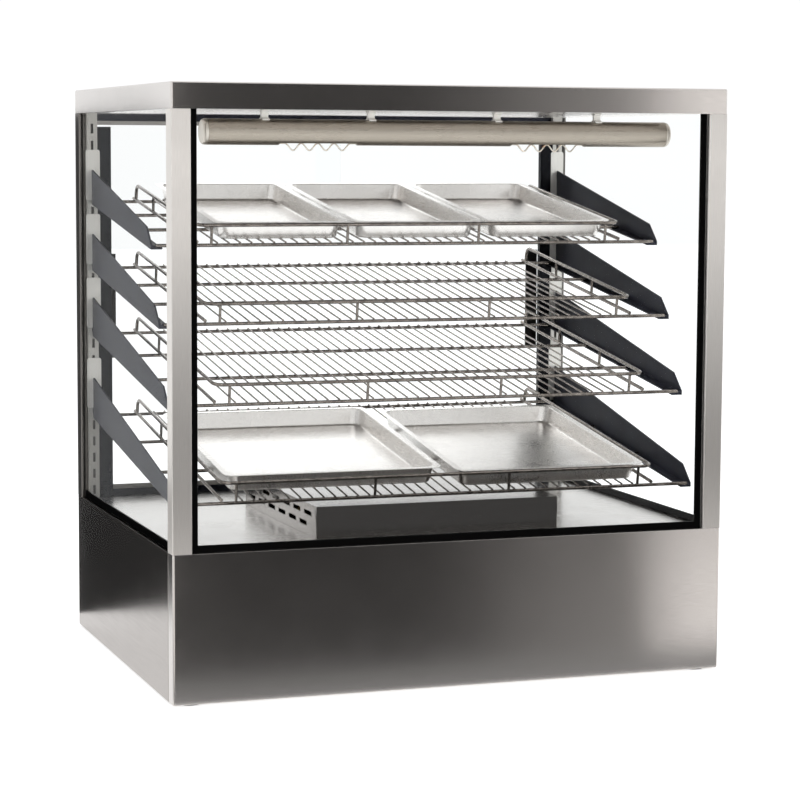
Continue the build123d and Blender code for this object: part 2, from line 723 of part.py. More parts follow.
def hanger_places():
    """X of the four lamp hangers."""
    return [FITTING_SHIFT + side * spread for spread in HANGER_SPREADS for side in (-1, 1)]


def window_places():
    """X of the centres of the two lamp windows."""
    return [FITTING_SHIFT + side * WINDOW_SPREAD for side in (-1, 1)]


def lamp_housing():
    """The long round lamp body, with two windows facing down."""
    tube = flat_sided(2 * LAMP_RADIUS, LAMP_SIDES) - flat_sided(2 * (LAMP_RADIUS - LAMP_WALL), LAMP_SIDES)
    place = Plane(origin=(-LAMP_HALF_LENGTH, LAMP_Y, LAMP_Z), x_dir=(0, 1, 0), z_dir=(1, 0, 0))
    body = extrude(place * tube, 2 * LAMP_HALF_LENGTH)
    for x in window_places():
        body -= block(
            x - WINDOW_LENGTH / 2, x + WINDOW_LENGTH / 2,
            LAMP_Y - WINDOW_HALF_WIDTH, LAMP_Y + WINDOW_HALF_WIDTH,
            LAMP_Z - 2 * LAMP_RADIUS, LAMP_Z,
        )
    return body


def lamp_end_caps():
    """Tapered caps that close both ends of the lamp body."""
    cap = extrude(flat_sided(2 * LAMP_RADIUS, LAMP_SIDES), LAMP_CAP, taper=LAMP_CAP_TAPER)
    right = Pos(LAMP_HALF_LENGTH, LAMP_Y, LAMP_Z) * Rot(0, 90, 0) * cap
    left = Pos(-LAMP_HALF_LENGTH, LAMP_Y, LAMP_Z) * Rot(0, -90, 0) * cap
    return Compound([left, right])


def lamp_hangers():
    """Four clips that hang the lamp from the ceiling."""
    top = ROOF_BOTTOM
    clips = []
    for x in hanger_places():
        half = HANGER_WIDTH / 2
        stem = block(x - half, x + half, LAMP_Y - HANGER_SHEET / 2, LAMP_Y + HANGER_SHEET / 2, LAMP_Z, top)
        foot = block(
            x - half, x + half, LAMP_Y - HANGER_FOOT / 2, LAMP_Y + HANGER_FOOT / 2, top - HANGER_SHEET, top
        )
        clip = stem + foot
        clip -= rod(
            (x - HANGER_WIDTH, LAMP_Y, LAMP_Z), (x + HANGER_WIDTH, LAMP_Y, LAMP_Z),
            2 * LAMP_RADIUS, LAMP_SIDES,
        )
        clip += rod((x, LAMP_Y, top), (x, LAMP_Y, top + SCREW_LENGTH), SCREW_SHANK)
        clips.append(clip)
    return Compound(clips)


def halogen_tubes():
    """Two double-ended quartz lamps, one over each window."""
    pinch = TUBE_DIAMETER / 2
    tubes = []
    for x in window_places():
        low = x - TUBE_LENGTH / 2
        body = rod((low, LAMP_Y, LAMP_Z), (low + TUBE_LENGTH, LAMP_Y, LAMP_Z), TUBE_DIAMETER)
        ends = rod(
            (low - HOLDER_BITE, LAMP_Y, LAMP_Z), (low + TUBE_LENGTH + HOLDER_BITE, LAMP_Y, LAMP_Z), pinch
        )
        tubes.append(body + ends)
    return Compound(tubes)


def lamp_holders():
    """Ceramic sockets at both ends of each lamp."""
    holders = []
    for middle in window_places():
        for end in (-1, 1):
            x = middle + end * (TUBE_LENGTH / 2 + HOLDER_LENGTH / 2)
            half = HOLDER_WIDTH / 2
            top = LAMP_Z + math.sqrt((LAMP_RADIUS - LAMP_WALL) ** 2 - half ** 2)
            holder = block(
                x - HOLDER_LENGTH / 2, x + HOLDER_LENGTH / 2, LAMP_Y - half, LAMP_Y + half, LAMP_Z - half, top
            )
            inner = x - end * HOLDER_LENGTH / 2
            bitten = inner + end * HOLDER_BITE
            holder -= rod((inner, LAMP_Y, LAMP_Z), (bitten, LAMP_Y, LAMP_Z), TUBE_DIAMETER / 2)
            holders.append(holder)
    return Compound(holders)


def lamp_guards():
    """A wire bent in four waves below each window, its ends resting inside the lamp body."""
    top = LAMP_Z - LAMP_RADIUS + LAMP_WALL + GUARD_SEAT + GUARD_WIRE / 2
    low = top - GUARD_RISE
    half = GUARD_WAVES * GUARD_PITCH / 2
    wires = []
    for middle in window_places():
        points = [(middle - WINDOW_LENGTH / 2 - GUARD_REST, LAMP_Y, top)]
        for wave in range(GUARD_WAVES):
            crest = middle - half + wave * GUARD_PITCH
            trough = crest + GUARD_PITCH / 2
            points.append((crest, LAMP_Y, top))
            points += [(trough + side * GUARD_TIP, LAMP_Y, low) for side in (-1, 1)]
        points += [(middle + half, LAMP_Y, top), (middle + WINDOW_LENGTH / 2 + GUARD_REST, LAMP_Y, top)]
        place = Plane(origin=points[0], x_dir=(0, 1, 0), z_dir=(1, 0, 0))
        profile = place * flat_sided(GUARD_WIRE, WIRE_SIDES)
        wires.append(sweep(profile, path=Polyline(*points), transition=Transition.RIGHT))
    return Compound(wires)


# Heater and fan

def heater_cover():
    """A stainless box over the element, open below, with two rows of air slots in each side."""
    half = COVER_WIDTH / 2
    body = folded_tray(
        -half, half, COVER_FRONT_Y, COVER_FRONT_Y + COVER_DEPTH,
        BASE_TOP, BASE_TOP + COVER_HEIGHT, Axis.Z, False,
    )
    middle = COVER_FRONT_Y + COVER_DEPTH / 2
    for height, shift in COVER_SLOT_ROWS:
        face = Plane(origin=(0, middle + shift, BASE_TOP + height), x_dir=(0, 1, 0), z_dir=(1, 0, 0))
        slot = Rectangle(COVER_SLOT_LENGTH, COVER_SLOT_HEIGHT)
        slots = Sketch() + GridLocations(COVER_SLOT_PITCH, 1, COVER_SLOTS, 1) * slot
        body -= extrude(face * slots, COVER_WIDTH, both=True)
    return body


def element_tails():
    """Where the two ends of the element pass through the deck."""
    middle = COVER_FRONT_Y + COVER_DEPTH / 2
    return [(-ELEMENT_HALF_WIDTH, middle + side * 1.5 * ELEMENT_PITCH) for side in (-1, 1)]


def heating_element():
    """A sheathed element bent to four runs, with both tails down through the deck."""
    (x_low, y_first), (_, y_last) = element_tails()
    z = BASE_TOP + ELEMENT_LIFT
    x_high = -x_low
    inner = x_low + ELEMENT_PITCH
    corners = (
        (x_low, y_first, BASE_TOP - ELEMENT_TAIL), (x_low, y_first, z),
        (x_high, y_first, z), (x_high, y_first + ELEMENT_PITCH, z),
        (inner, y_first + ELEMENT_PITCH, z), (inner, y_last - ELEMENT_PITCH, z),
        (x_high, y_last - ELEMENT_PITCH, z), (x_high, y_last, z),
        (x_low, y_last, z), (x_low, y_last, BASE_TOP - ELEMENT_TAIL),
    )
    return bent_rod(corners, ELEMENT_DIAMETER, ELEMENT_BEND)


def fan_frame():
    """A square axial fan housing with round duct, spokes and four posts up to the deck."""
    duct = Rectangle(FAN_SIZE, FAN_SIZE) - flat_sided(FAN_BORE, FAN_SIDES)
    frame = Pos(0, FAN_Y, FAN_BOTTOM) * extrude(duct, FAN_DEPTH)
    reach = FAN_BORE + FAN_BLADE_GAP
    spokes = flat_sided(FAN_HUB) + Rectangle(reach, FAN_SPOKE) + Rectangle(FAN_SPOKE, reach)
    spokes -= Circle(FAN_SHAFT / 2 + FAN_SHAFT_GAP)
    frame += Pos(0, FAN_Y, FAN_BOTTOM) * extrude(spokes, FAN_SPOKE / 2)
    corner = FAN_SIZE - FAN_STAND
    for place in GridLocations(corner, corner, 2, 2):
        stand = extrude(Rectangle(FAN_STAND, FAN_STAND), FAN_DROP)
        frame += Pos(0, FAN_Y, FAN_TOP) * place * stand
    return frame


def fan_motor():
    """The round motor can under the hub."""
    can = flat_sided(FAN_HUB - FAN_BLADE_GAP) - Circle(FAN_SHAFT / 2 + FAN_SHAFT_GAP)
    return Pos(0, FAN_Y, FAN_BOTTOM + FAN_SPOKE / 2) * extrude(can, FAN_MOTOR_HEIGHT)


def fan_rotor():
    """Hub, shaft and pitched blades."""
    hub_bottom = FAN_BOTTOM + FAN_SPOKE / 2 + FAN_MOTOR_HEIGHT + FAN_BLADE_GAP / 2
    hub_height = FAN_TOP - FAN_BLADE_GAP - hub_bottom
    rotor = Pos(0, 0, hub_bottom) * extrude(flat_sided(FAN_HUB), hub_height)
    rotor += Pos(0, 0, FAN_BOTTOM) * extrude(Circle(FAN_SHAFT / 2), hub_bottom - FAN_BOTTOM)
    reach = FAN_BORE / 2 - FAN_BLADE_GAP
    inner = FAN_HUB / 2 - FAN_BLADE_GAP / 2
    chord = hub_height / math.sin(math.radians(FAN_BLADE_PITCH)) * FAN_BLADE_FILL
    blade = Pos((inner + reach) / 2, 0, hub_bottom + hub_height / 2) * (
        Rot(FAN_BLADE_PITCH, 0, 0) * Box(reach - inner, chord, FAN_BLADE_SHEET)
    )
    for step in range(FAN_BLADES):
        rotor += Rot(0, 0, 360 / FAN_BLADES * step) * blade
    return Pos(0, FAN_Y, 0) * rotor


# Controls in the recess at the rear

def control_panel():
    """The recessed tray that carries the controls."""
    tray = folded_tray(
        CONTROL_X - CONTROL_WIDTH / 2, CONTROL_X + CONTROL_WIDTH / 2,
        PANEL_Y - CONTROL_DEPTH, PANEL_Y,
        CONTROL_Z - CONTROL_HEIGHT / 2, CONTROL_Z + CONTROL_HEIGHT / 2,
        Axis.Y, True,
    )
    holes = [
        control_hole(THERMOSTAT_X, 0, SPINDLE_DIAMETER + 2 * KNOB_GAP),
        control_hole(PILOT_X, PILOT_Z, PILOT_DIAMETER),
        control_hole(GLAND_X, GLAND_Z, GLAND_THREAD),
    ]
    for x in SWITCH_XS:
        half_w = SWITCH_BEZEL_WIDTH / 2 - SWITCH_BODY_INSET
        half_h = SWITCH_BEZEL_HEIGHT / 2 - SWITCH_BODY_INSET
        holes.append(block(
            CONTROL_X + x - half_w, CONTROL_X + x + half_w,
            CONTROL_FACE_Y - 2 * SHEET, CONTROL_FACE_Y + SHEET,
            CONTROL_Z - half_h, CONTROL_Z + half_h,
        ))
    return tray - holes


def control_hole(x, z, diameter):
    """A round hole through the control plate."""
    x += CONTROL_X
    z += CONTROL_Z
    return rod((x, CONTROL_FACE_Y - 2 * SHEET, z), (x, CONTROL_FACE_Y + SHEET, z), diameter, TURNED_SIDES)


def thermostat_body():
    """The control block behind the plate, bored for the spindle."""
    x = CONTROL_X + THERMOSTAT_X
    y1 = CONTROL_FACE_Y - SHEET
    body = block(
        x - THERMOSTAT_WIDTH / 2, x + THERMOSTAT_WIDTH / 2, y1 - THERMOSTAT_DEPTH, y1,
        CONTROL_Z - THERMOSTAT_HEIGHT / 2, CONTROL_Z + THERMOSTAT_HEIGHT / 2,
    )
    depth = 2 * (SPINDLE_BITE + KNOB_GAP)
    return body - round_hole(x, y1, CONTROL_Z, SPINDLE_DIAMETER + 2 * SPINDLE_GAP, depth)


def thermostat_knob():
    """A fluted knob with its pointer ridge and spindle."""
    x = CONTROL_X + THERMOSTAT_X
    radius = KNOB_DIAMETER / 2
    outline = flat_sided(KNOB_DIAMETER, 2 * KNOB_FLUTES)
    for step in range(KNOB_FLUTES):
        flute = Pos(radius, 0) * Rectangle(2 * KNOB_FLUTE, KNOB_FLUTE)
        outline -= Rot(0, 0, 360 / KNOB_FLUTES * (step + 0.5)) * flute
    knob = extrude(outline, KNOB_DEPTH - KNOB_CAP)
    knob += extrude(flat_sided(KNOB_DIAMETER - 2 * KNOB_FLUTE, 2 * KNOB_FLUTES), KNOB_DEPTH)
    ridge = Box(KNOB_POINTER, KNOB_POINTER_LENGTH, 2 * KNOB_POINTER_PROUD)
    knob += Pos(0, (radius - KNOB_FLUTE) / 2, KNOB_DEPTH) * ridge
    knob += Pos(0, 0, -KNOB_GAP - SHEET - SPINDLE_BITE) * extrude(
        Circle(SPINDLE_DIAMETER / 2), KNOB_GAP + SHEET + SPINDLE_BITE
    )
    return Pos(x, CONTROL_FACE_Y + KNOB_GAP, CONTROL_Z) * Rot(-90, 0, 0) * knob


def switch_body(index):
    """A snap-in rocker switch housing with bezel and a round pocket."""
    x = CONTROL_X + SWITCH_XS[index]
    half_w = SWITCH_BEZEL_WIDTH / 2
    half_h = SWITCH_BEZEL_HEIGHT / 2
    y = CONTROL_FACE_Y
    body = block(x - half_w, x + half_w, y, y + SWITCH_BEZEL, CONTROL_Z - half_h, CONTROL_Z + half_h)
    inset = SWITCH_BODY_INSET
    body += block(
        x - half_w + inset, x + half_w - inset, y - SWITCH_BODY_DEPTH, y,
        CONTROL_Z - half_h + inset, CONTROL_Z + half_h - inset,
    )
    pocket = Rot(0, 90, 0) * Cylinder(ROCKER_RADIUS + ROCKER_GAP, ROCKER_WIDTH + 2 * ROCKER_GAP)
    return body - Pos(x, y + SWITCH_BEZEL, CONTROL_Z) * pocket


def switch_rocker(index):
    """The rocker, tilted to its off position about a cross pin line."""
    x = CONTROL_X + SWITCH_XS[index]
    round_part = Rot(0, 90, 0) * Cylinder(ROCKER_RADIUS, ROCKER_WIDTH)
    shape = Polyline(
        (-ROCKER_RADIUS, ROCKER_PROUD), (0, ROCKER_PROUD / 2), (ROCKER_RADIUS, ROCKER_PROUD),
        (ROCKER_RADIUS, -ROCKER_PROUD), (-ROCKER_RADIUS, -ROCKER_PROUD),
        close=True,
    )
    side = Plane(origin=(0, 0, 0), x_dir=(0, 0, 1), z_dir=(-1, 0, 0))
    prism = extrude(make_face(side * shape), ROCKER_WIDTH / 2, both=True)
    rocker = round_part & prism
    return Pos(x, CONTROL_FACE_Y + SWITCH_BEZEL, CONTROL_Z) * Rot(ROCKER_TILT, 0, 0) * rocker


def pilot_lamp():
    """A round signal lamp with a domed lens."""
    radius = PILOT_DIAMETER / 2
    body = extrude(flat_sided(PILOT_DIAMETER - 2 * PILOT_GAP), 2 * radius)
    lens = extrude(flat_sided(PILOT_DIAMETER + 2 * PILOT_RIM), PILOT_RIM)
    lens = chamfer(lens.edges().group_by(Axis.Z)[-1], PILOT_RIM / 2)
    lamp = body + Pos(0, 0, 2 * radius) * lens
    return Pos(CONTROL_X + PILOT_X, CONTROL_FACE_Y - 2 * radius, CONTROL_Z + PILOT_Z) * Rot(-90, 0, 0) * lamp


def cord_gland():
    """A screwed cable gland: thread behind the plate, hexagon and domed nut outside."""
    bore = GLAND_BORE / 2
    thread = extrude(flat_sided(GLAND_THREAD - 2 * GLAND_GAP), GLAND_TAIL + SHEET)
    hexagon = extrude(RegularPolygon(GLAND_HEX / 2, 6, major_radius=False), GLAND_HEX_DEPTH)
    dome = extrude(flat_sided(GLAND_HEX - 2 * GLAND_STEP), GLAND_DOME, taper=GLAND_TAPER)
    gland = thread + Pos(0, 0, GLAND_TAIL + SHEET) * hexagon
    gland += Pos(0, 0, GLAND_TAIL + SHEET + GLAND_HEX_DEPTH) * dome
    gland -= extrude(Circle(bore), GLAND_TAIL + SHEET + GLAND_HEX_DEPTH + GLAND_DOME)
    place = Pos(CONTROL_X + GLAND_X, CONTROL_FACE_Y - SHEET - GLAND_TAIL, CONTROL_Z + GLAND_Z)
    return place * Rot(-90, 0, 0) * gland


def terminal_block():
    """A screw terminal strip on the floor of the base, with one barrel per wire."""
    length = TERMINALS * TERMINAL_PITCH
    z0 = FOOT_HEIGHT + SHEET
    y = CONTROL_FACE_Y - 2 * THERMOSTAT_DEPTH
    body = block(
        CONTROL_X + GLAND_X - length / 2, CONTROL_X + GLAND_X + length / 2,
        y - TERMINAL_WIDTH / 2, y + TERMINAL_WIDTH / 2, z0, z0 + TERMINAL_HEIGHT,
    )
    for place in GridLocations(TERMINAL_PITCH, 1, TERMINALS, 1):
        barrel = rod((0, -TERMINAL_WIDTH, 0), (0, TERMINAL_WIDTH, 0), TERMINAL_BARREL)
        body -= Pos(CONTROL_X + GLAND_X, y, z0 + TERMINAL_HEIGHT / 2) * place * barrel
    return body


def all_parts():
    """Every node name with its shape."""
    parts = {
        "base_front_panel": base_front_panel(),
        "base_side_panel_left": base_side_panel_left(),
        "base_side_panel_right": mirrored(base_side_panel_left()),
        "base_floor": base_floor(),
        "rear_panel": rear_panel(),
        "panel_screws": panel_screws(),
        "feet": feet(),
        "deck": deck(),
        "post_front_left": post(True, False),
        "post_front_right": post(False, False),
        "post_rear_left": post(True, True),
        "post_rear_right": post(False, True),
        "roof_cap": roof_cap(),
        "ceiling_panel": ceiling_panel(),
        "front_glass": front_glass(),
        "side_glass_left": side_glass_left(),
        "side_glass_right": mirrored(side_glass_left()),
        "glass_seals": Compound([front_seal(), side_seal_left(), mirrored(side_seal_left())]),
        "door_track_bottom": door_track(True),
        "door_track_top": door_track(False),
        "standards": Compound([standard_left(), mirrored(standard_left())]),
        "uprights": Compound([upright_left(), mirrored(upright_left())]),
        "top_trays": trays(0, TOP_TRAYS),
        "lower_trays": trays(len(BRACKET_SLOTS) - 1, LOWER_TRAYS),
        "lamp_housing": lamp_housing(),
        "lamp_end_caps": lamp_end_caps(),
        "lamp_hangers": lamp_hangers(),
        "halogen_tubes": halogen_tubes(),
        "lamp_holders": lamp_holders(),
        "lamp_guards": lamp_guards(),
        "heater_cover": heater_cover(),
        "heating_element": heating_element(),
        "fan_frame": fan_frame(),
        "fan_motor": fan_motor(),
        "fan_rotor": fan_rotor(),
        "control_panel": control_panel(),
        "thermostat_body": thermostat_body(),
        "thermostat_knob": thermostat_knob(),
        "switch_bodies": Compound([switch_body(0), switch_body(1)]),
        "power_rocker": switch_rocker(0),
        "lamp_rocker": switch_rocker(1),
        "pilot_lamp": pilot_lamp(),
        "cord_gland": cord_gland(),
        "terminal_block": terminal_block(),
    }
    for side, left in (("left", True), ("right", False)):
        parts["door_glass_" + side] = door_glass(left)
        parts["door_fittings_" + side] = door_fittings(left)
    for level in range(len(BRACKET_SLOTS)):
        name = str(level + 1)
        bracket = bracket_left(level)
        parts["bracket_" + name + "_left"] = bracket
        parts["bracket_" + name + "_right"] = mirrored(bracket)
        parts["shelf_" + name] = wire_shelf(level)
    return parts


os.makedirs("parts", exist_ok=True)
for node, shape in all_parts().items():
    export_step(shape, "parts/" + node + ".step")
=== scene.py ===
"""Looks of the heated display counter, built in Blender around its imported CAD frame.

Lengths are metres in the frame's axes: +Z up, front towards -Y, left is -X.
"""

import json
import logging
import math
from collections.abc import Sequence
from dataclasses import dataclass
from enum import Enum

import bmesh
import bpy
from mathutils import Matrix, Vector

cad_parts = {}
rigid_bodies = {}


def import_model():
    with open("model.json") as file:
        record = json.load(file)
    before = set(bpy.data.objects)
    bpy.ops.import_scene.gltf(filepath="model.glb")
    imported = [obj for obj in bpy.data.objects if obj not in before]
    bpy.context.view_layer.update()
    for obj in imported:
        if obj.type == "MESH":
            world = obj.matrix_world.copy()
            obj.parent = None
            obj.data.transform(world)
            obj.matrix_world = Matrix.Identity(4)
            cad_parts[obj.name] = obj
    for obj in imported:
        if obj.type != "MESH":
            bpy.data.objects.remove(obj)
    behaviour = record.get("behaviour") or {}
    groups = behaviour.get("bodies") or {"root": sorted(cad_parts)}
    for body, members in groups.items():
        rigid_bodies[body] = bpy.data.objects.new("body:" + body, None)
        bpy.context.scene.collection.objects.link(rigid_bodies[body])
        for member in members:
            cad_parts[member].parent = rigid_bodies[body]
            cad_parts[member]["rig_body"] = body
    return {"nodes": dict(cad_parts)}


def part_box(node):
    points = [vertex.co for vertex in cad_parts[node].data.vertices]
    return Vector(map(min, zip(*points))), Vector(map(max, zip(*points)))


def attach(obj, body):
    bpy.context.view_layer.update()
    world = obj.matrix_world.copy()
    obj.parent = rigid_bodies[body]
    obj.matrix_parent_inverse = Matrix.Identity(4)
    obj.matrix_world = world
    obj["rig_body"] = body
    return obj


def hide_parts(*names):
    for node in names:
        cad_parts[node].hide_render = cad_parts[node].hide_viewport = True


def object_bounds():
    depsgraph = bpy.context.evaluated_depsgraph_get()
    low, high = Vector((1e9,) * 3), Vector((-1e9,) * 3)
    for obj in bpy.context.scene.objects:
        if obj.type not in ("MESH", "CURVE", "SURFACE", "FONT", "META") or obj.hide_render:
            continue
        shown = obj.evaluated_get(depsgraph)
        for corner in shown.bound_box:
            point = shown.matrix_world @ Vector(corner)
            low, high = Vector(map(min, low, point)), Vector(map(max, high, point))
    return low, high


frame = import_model()
CAD_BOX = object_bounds()

MM = 0.001
SHARP = math.radians(28)
QUARTER = math.pi / 2
LOG = logging.getLogger("display_counter")
Colour = tuple[float, float, float, float]
Point = tuple[float, float, float]
Pair = tuple[float, float]
Tree = bpy.types.NodeTree
Socket = bpy.types.NodeSocket
Material = bpy.types.Material
Mesh = bpy.types.Mesh
Thing = bpy.types.Object
Work = bmesh.types.BMesh


class Brush(Enum):
    """The way the brush lines of a metal sheet run: how their pattern is drawn out, and across them.

    Each face takes the part of the second direction that lies in the face.
    """

    ALONG_X = ((0.025, 1.0, 1.0), (0.0, 0.3, 1.0))
    ALONG_Y = ((1.0, 0.025, 1.0), (0.3, 0.0, 1.0))
    ALONG_Z = ((1.0, 1.0, 0.025), (1.0, 1.0, 0.0))

    def __init__(self, stretch: Point, across: Point) -> None:
        """Keeps the two parts of the value under their names."""
        self.stretch = stretch
        self.across = across


class Side(Enum):
    """Left or right half of the counter."""

    LEFT = -1
    RIGHT = 1


# Nodes and colours


def linear(code: str) -> Colour:
    """Turns an sRGB hex colour into the linear one that Blender works with.

    Args:
        code: Colour such as "#a0b0c0".

    Returns:
        Linear red, green, blue and full alpha.
    """
    shares = [int(code[i : i + 2], 16) / 255 for i in (1, 3, 5)]
    red, green, blue = (c / 12.92 if c <= 0.04045 else ((c + 0.055) / 1.055) ** 2.4 for c in shares)
    return red, green, blue, 1.0


def add_node(tree: Tree, kind: str, inputs: dict | None = None, **settings: object) -> bpy.types.Node:
    """Adds a node with its settings, plain input values and links.

    Args:
        tree: Node tree that gets the node.
        kind: Blender's name of the node's type.
        inputs: For each input's name or number, a value or the output socket that feeds it.
        settings: Properties of the node itself, set before its inputs.

    Returns:
        The new node.
    """
    node = tree.nodes.new(kind)
    for name, value in settings.items():
        setattr(node, name, value)
    for key, value in (inputs or {}).items():
        if isinstance(value, Socket):
            tree.links.new(value, node.inputs[key])
        else:
            node.inputs[key].default_value = value
    return node


def set_stops(ramp: bpy.types.Node, stops: Sequence[tuple[float, Colour]]) -> None:
    """Gives a colour ramp its stops.

    Args:
        ramp: The ramp's node, as it comes, with a stop at each end.
        stops: Place from 0 to 1 and colour of each stop, rising.
    """
    elements = ramp.color_ramp.elements
    for place, colour in stops[1:-1]:
        elements.new(place).color = colour
    for end in (0, -1):
        elements[end].position, elements[end].color = stops[end]


def empty_material(name: str) -> tuple[Material, Tree]:
    """Makes a material without nodes.

    Args:
        name: Name of the material.

    Returns:
        The material and its tree.
    """
    material = bpy.data.materials.new(name)
    material.use_nodes = True
    material.node_tree.nodes.clear()
    return material, material.node_tree


# Finishes


@dataclass(frozen=True)
class Layer:
    """A soft random pattern of a finish, with values from 0 to 1, and what it changes.

    grain is the size of one spot in metres, detail how much finer structure lies in it, and stretch
    the scale of the pattern along each axis. tone is a low and a high value of the pattern and the
    share of the other colour at the high one. rough is a low and a high value and what each adds to
    the roughness. relief is the depth in metres and the strength of the bump.
    """

    grain: float
    detail: float = 2.0
    stretch: Point | None = None
    tone: tuple[float, float, float] | None = None
    rough: tuple[float, float, float, float] | None = None
    relief: Pair | None = None


@dataclass(frozen=True)
class Finish:
    """What every finish has: its name, colours, roughness and the numbers of its shader."""

    name: str
    colour: str
    roughness: float = 0.5
    metallic: float = 0.0
    ior: float = 1.5
    shade: str = "#101010"

    def layers(self) -> tuple[Layer, ...]:
        """Patterns of the finish; a plain finish has none."""
        return ()

    def extra(self, tree: Tree, place: Socket) -> dict:
        """Further inputs of the shader, of which a plain finish has none."""
        return {}

    def material(self) -> Material:
        """Gives the Blender material, made the first time it is asked for.

        Returns:
            The material.
        """
        found = bpy.data.materials.get(self.name)
        if found is not None:
            return found
        material, tree = empty_material(self.name)
        place = add_node(tree, "ShaderNodeTexCoord").outputs["Object"]
        inputs = {"Base Color": linear(self.colour), "Roughness": self.roughness}
        inputs |= {"Metallic": self.metallic, "IOR": self.ior}
        for layer in self.layers():
            self.draw(layer, tree, place, inputs)
        inputs |= self.extra(tree, place)
        shader = add_node(tree, "ShaderNodeBsdfPrincipled", inputs)
        add_node(tree, "ShaderNodeOutputMaterial", {"Surface": shader.outputs["BSDF"]})
        return material

    def draw(self, layer: Layer, tree: Tree, place: Socket, inputs: dict) -> None:
        """Draws one layer and puts what it changes among the shader's inputs.

        Args:
            layer: The layer.
            tree: The material's tree.
            place: Coordinates in metres.
            inputs: Inputs of the shader so far, by name.
        """
        if layer.stretch is not None:
            drawn_out = add_node(tree, "ShaderNodeMapping", {"Vector": place, "Scale": layer.stretch})
            place = drawn_out.outputs["Vector"]
        spots = {"Vector": place, "Scale": 1 / layer.grain, "Detail": layer.detail}
        pattern = add_node(tree, "ShaderNodeTexNoise", spots).outputs["Fac"]
        if layer.tone is not None:
            low, high, share = layer.tone
            window = {"Value": pattern, "From Min": low, "From Max": high, "To Max": share}
            amount = add_node(tree, "ShaderNodeMapRange", window).outputs["Result"]
            colours = {"Factor": amount, "A": inputs["Base Color"], "B": linear(self.shade)}
            mixed = add_node(tree, "ShaderNodeMix", colours, data_type="RGBA")
            inputs["Base Color"] = mixed.outputs["Result"]
        if layer.rough is not None:
            low, high, least, most = layer.rough
            window = {"Value": pattern, "From Min": low, "From Max": high, "To Min": least, "To Max": most}
            change = add_node(tree, "ShaderNodeMapRange", window).outputs["Result"]
            total = add_node(tree, "ShaderNodeMath", {0: inputs["Roughness"], 1: change}, operation="ADD")
            inputs["Roughness"] = total.outputs["Value"]
        if layer.relief is not None:
            depth, strength = layer.relief
            height = {"Height": pattern, "Distance": depth, "Strength": strength}
            inputs["Normal"] = add_node(tree, "ShaderNodeBump", height).outputs["Normal"]


@dataclass(frozen=True)
class BrushedSteel(Finish):
    """Stainless sheet, belt-brushed: fine parallel lines and faint handling marks."""

    metallic: float = 1.0
    shade: str = "#8f8c88"
    brush: Brush = Brush.ALONG_X
    line: float = 0.5 * MM
    mark: float = 60 * MM
    unevenness: float = 0.05
    streak: float = 0.0

    def layers(self) -> tuple[Layer, ...]:
        """Brush lines, and handling marks over some centimetres.

        Real lines are 0.05 mm wide; they are drawn ten times as wide, so that they show at all.

        Returns:
            The lines and the marks.
        """
        swing = self.unevenness
        tone = (0.35, 0.75, 0.22)
        lines = Layer(self.line, 3.0, self.brush.stretch, tone, (0.3, 0.7, -swing, swing), (0.02 * MM, 0.25))
        return lines, Layer(self.mark, 3.0, rough=(0.35, 0.7, 0.0, swing))

    def extra(self, tree: Tree, place: Socket) -> dict:
        """The streak draws each reflection out across the lines, as the ridges between them do."""
        across = add_node(tree, "ShaderNodeCombineXYZ", dict(zip("XYZ", self.brush.across)))
        return {"Anisotropic": self.streak, "Tangent": across.outputs["Vector"]}


@dataclass(frozen=True)
class PlatedWire(Finish):
    """Drawn steel wire with nickel-chrome plating: slightly cloudy over about a centimetre."""

    metallic: float = 1.0
    shade: str = "#3a322d"
    cloud: float = 9 * MM
    spot: float = 1.2 * MM

    def layers(self) -> tuple[Layer, ...]:
        """Clouds the plating and roughens it in small spots."""
        clouds = Layer(self.cloud, 3.0, tone=(0.35, 0.7, 0.7))
        return clouds, Layer(self.spot, rough=(0.35, 0.7, -0.05, 0.1), relief=(0.03 * MM, 0.2))


@dataclass(frozen=True)
class PowderCoat(Finish):
    """Polyester powder baked on steel: satin, with the low waves of orange peel."""

    shade: str = "#1b1b20"
    wave: float = 1.6 * MM
    cloud: float = 45 * MM
    gloss: float = 0.08

    def layers(self) -> tuple[Layer, ...]:
        """Draws orange peel of 1 to 2 mm and slow changes of tone."""
        peel = Layer(self.wave, 1.0, rough=(0.3, 0.7, -0.05, 0.05), relief=(0.08 * MM, 0.35))
        return peel, Layer(self.cloud, tone=(0.35, 0.7, 0.5))

    def extra(self, tree: Tree, place: Socket) -> dict:
        """A satin powder has little gloss."""
        return {"Specular IOR Level": self.gloss}


@dataclass(frozen=True)
class Moulded(Finish):
    """Injection-moulded plastic or pressed ceramic: a fine spark-eroded grain."""

    grain: float = 0.7 * MM
    rub: float = 22 * MM

    def layers(self) -> tuple[Layer, ...]:
        """Draws the mould's grain, and rubs the tone slightly over some centimetres."""
        fine = Layer(self.grain, rough=(0.3, 0.7, -0.06, 0.06), relief=(0.05 * MM, 0.3))
        return fine, Layer(self.rub, 3.0, tone=(0.4, 0.75, 0.35))


@dataclass(frozen=True)
class Clear(Finish):
    """Float, quartz or tinted lens glass: smooth, and it lets the light through."""

    roughness: float = 0.0
    ior: float = 1.52
    wave: float = 140 * MM

    def layers(self) -> tuple[Layer, ...]:
        """Bends the surface by the slow draw waves of rolled glass."""
        return (Layer(self.wave, 0.0, relief=(0.02 * MM, 0.1)),)

    def extra(self, tree: Tree, place: Socket) -> dict:
        """Lets all light through."""
        return {"Transmission Weight": 1.0}


